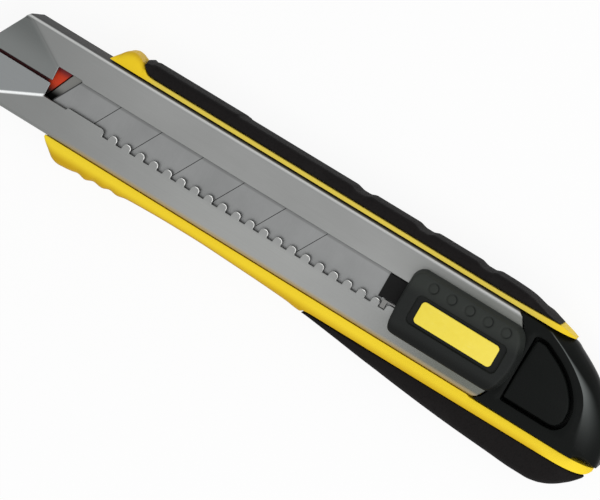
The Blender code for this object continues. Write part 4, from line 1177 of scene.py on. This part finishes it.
rise = np.append(np.linspace((shelf - rim_low) / (cap_top - rim_low), 0.98, 40), [0.99, 1.0])
rim_radii = [outer + (crest - outer) * inward(r) for r in rise]
rim = rings(rim_radii, rim_low + (cap_top - rim_low) * rise)
lip = 0.15
flat_share = (0.03, 0.3, 0.65, 1.0)
flat = rings([crest * (1 - s) + (pocket + lip) * s for s in flat_share], [cap_top] * len(flat_share))
well = rings([pocket + 0.3 * lip, pocket, pocket], [cap_top - 0.3 * lip * mm, cap_top - lip * mm, pocket_low])
upper_cap = joined(np.concatenate([rim, flat, well]))
swell = np.linspace(0, 1, 16)
outer_x, outer_y = (cap_middle + outer[:, None] * rays).T
hull_in = cap_hull * ease(-outer_x, 77.0, 83.0) * (1 - ease(outer_y, 12.6, 13.9))
lower_radii = [rim_radii[0] - hull_in * (1 - s) ** 2 for s in swell]
lower_cap = rings(lower_radii, cap_low + (shelf - cap_low) * swell)
lower_cap[..., 0] = np.minimum(lower_cap[..., 0], tray_rear)
cap = piece("cap_shell", [upper_cap, joined(lower_cap)], "cap_plastic", "end_cap", "end_cap", 40)

# %% Crest map
cap_mesh = cap.data
corner_vertex = np.empty(len(cap_mesh.loops), int)
cap_mesh.loops.foreach_get("vertex_index", corner_vertex)
places = np.empty(3 * len(cap_mesh.vertices))
cap_mesh.vertices.foreach_get("co", places)
off = places.reshape(-1, 3)[corner_vertex, :2] / mm - cap_middle
turn = np.arctan2(off[:, 1], off[:, 0])
inwards = np.interp(turn, directions, crest, period=2 * np.pi) - np.linalg.norm(off, axis=1)
round_first, round_last = 5.1, 1.5
round_it = np.clip((round_first - turn % (2 * np.pi)) / (round_first - round_last), 0, 1)
crest_map = cap_mesh.uv_layers.new(name="crest")
crest_map.data.foreach_set("uv", np.stack([round_it, 0.5 + inwards / crest_reach], axis=-1).ravel())
print("crest map on", len(corner_vertex), "corners")

# %% [markdown]
# ## Release button
#
# The button is a rounded sector that stands in the cap's pocket on a stem. Its upper edge is rolled like the
# plate's, with a larger radius.

# %% Button
stem_middle, stem_radius = np.array([-85.5, 3.0]) * mm, 2.0 * mm
stem_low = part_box("release_button")[0][2]
button = rolled_plate(button_loop * mm, button_low, button_high, 0.5 * mm, 8)
round_turn = np.linspace(0, 2 * np.pi, 40, endpoint=False)
stem_loop = stem_middle + stem_radius * np.stack([np.cos(round_turn), np.sin(round_turn)], axis=-1)
stem_rings = np.stack([inset(stem_loop, 0.3 * mm), stem_loop, stem_loop])
stem = joined(stacked(stem_rings, [stem_low, stem_low + 0.3 * mm, button_low + 0.05 * mm]))
piece("button_top", [button, stem], "cap_plastic", "release_button", "release_button", 50)

# %% [markdown]
# ## Pieces that keep their CAD shape
#
# Sheet metal and flat plastics already have their true shape, so they only need their finish. Their facets come as
# loose triangles: a Weld joins them, an Edge Split keeps the real corners, and normals weighted by face area keep
# the flats flat beside the round bends. The stamped channel gets a narrow bevel too, because no real edge is sharp.

# %% Finishes on CAD nodes
for name, node in nodes.items():
    if node.hide_render:
        continue
    slot_name = next(row["material_slot"] for row in frame["record"]["subparts"] if row["node"] == name)
    node.data.materials.clear()
    node.data.materials.append(finishes[slot_name])
    node.data.shade_smooth()
    weld = node.modifiers.new("weld", "WELD")
    weld.merge_threshold = 1e-6
    if name == "blade_channel":
        flatten = node.modifiers.new("flatten", "DECIMATE")
        flatten.decimate_type = "DISSOLVE"
        flatten.angle_limit = math.radians(0.5)
        worn = node.modifiers.new("worn_edges", "BEVEL")
        worn.width = 0.16 * mm
        worn.segments = 1
        worn.limit_method = "ANGLE"
        worn.angle_limit = math.radians(50)
        worn.use_clamp_overlap = False
    split = node.modifiers.new("corners", "EDGE_SPLIT")
    split.split_angle = math.radians(32)
    flats = node.modifiers.new("flats", "WEIGHTED_NORMAL")
    flats.mode = "FACE_AREA"
    flats.weight = 100
    print(name, "takes", slot_name)
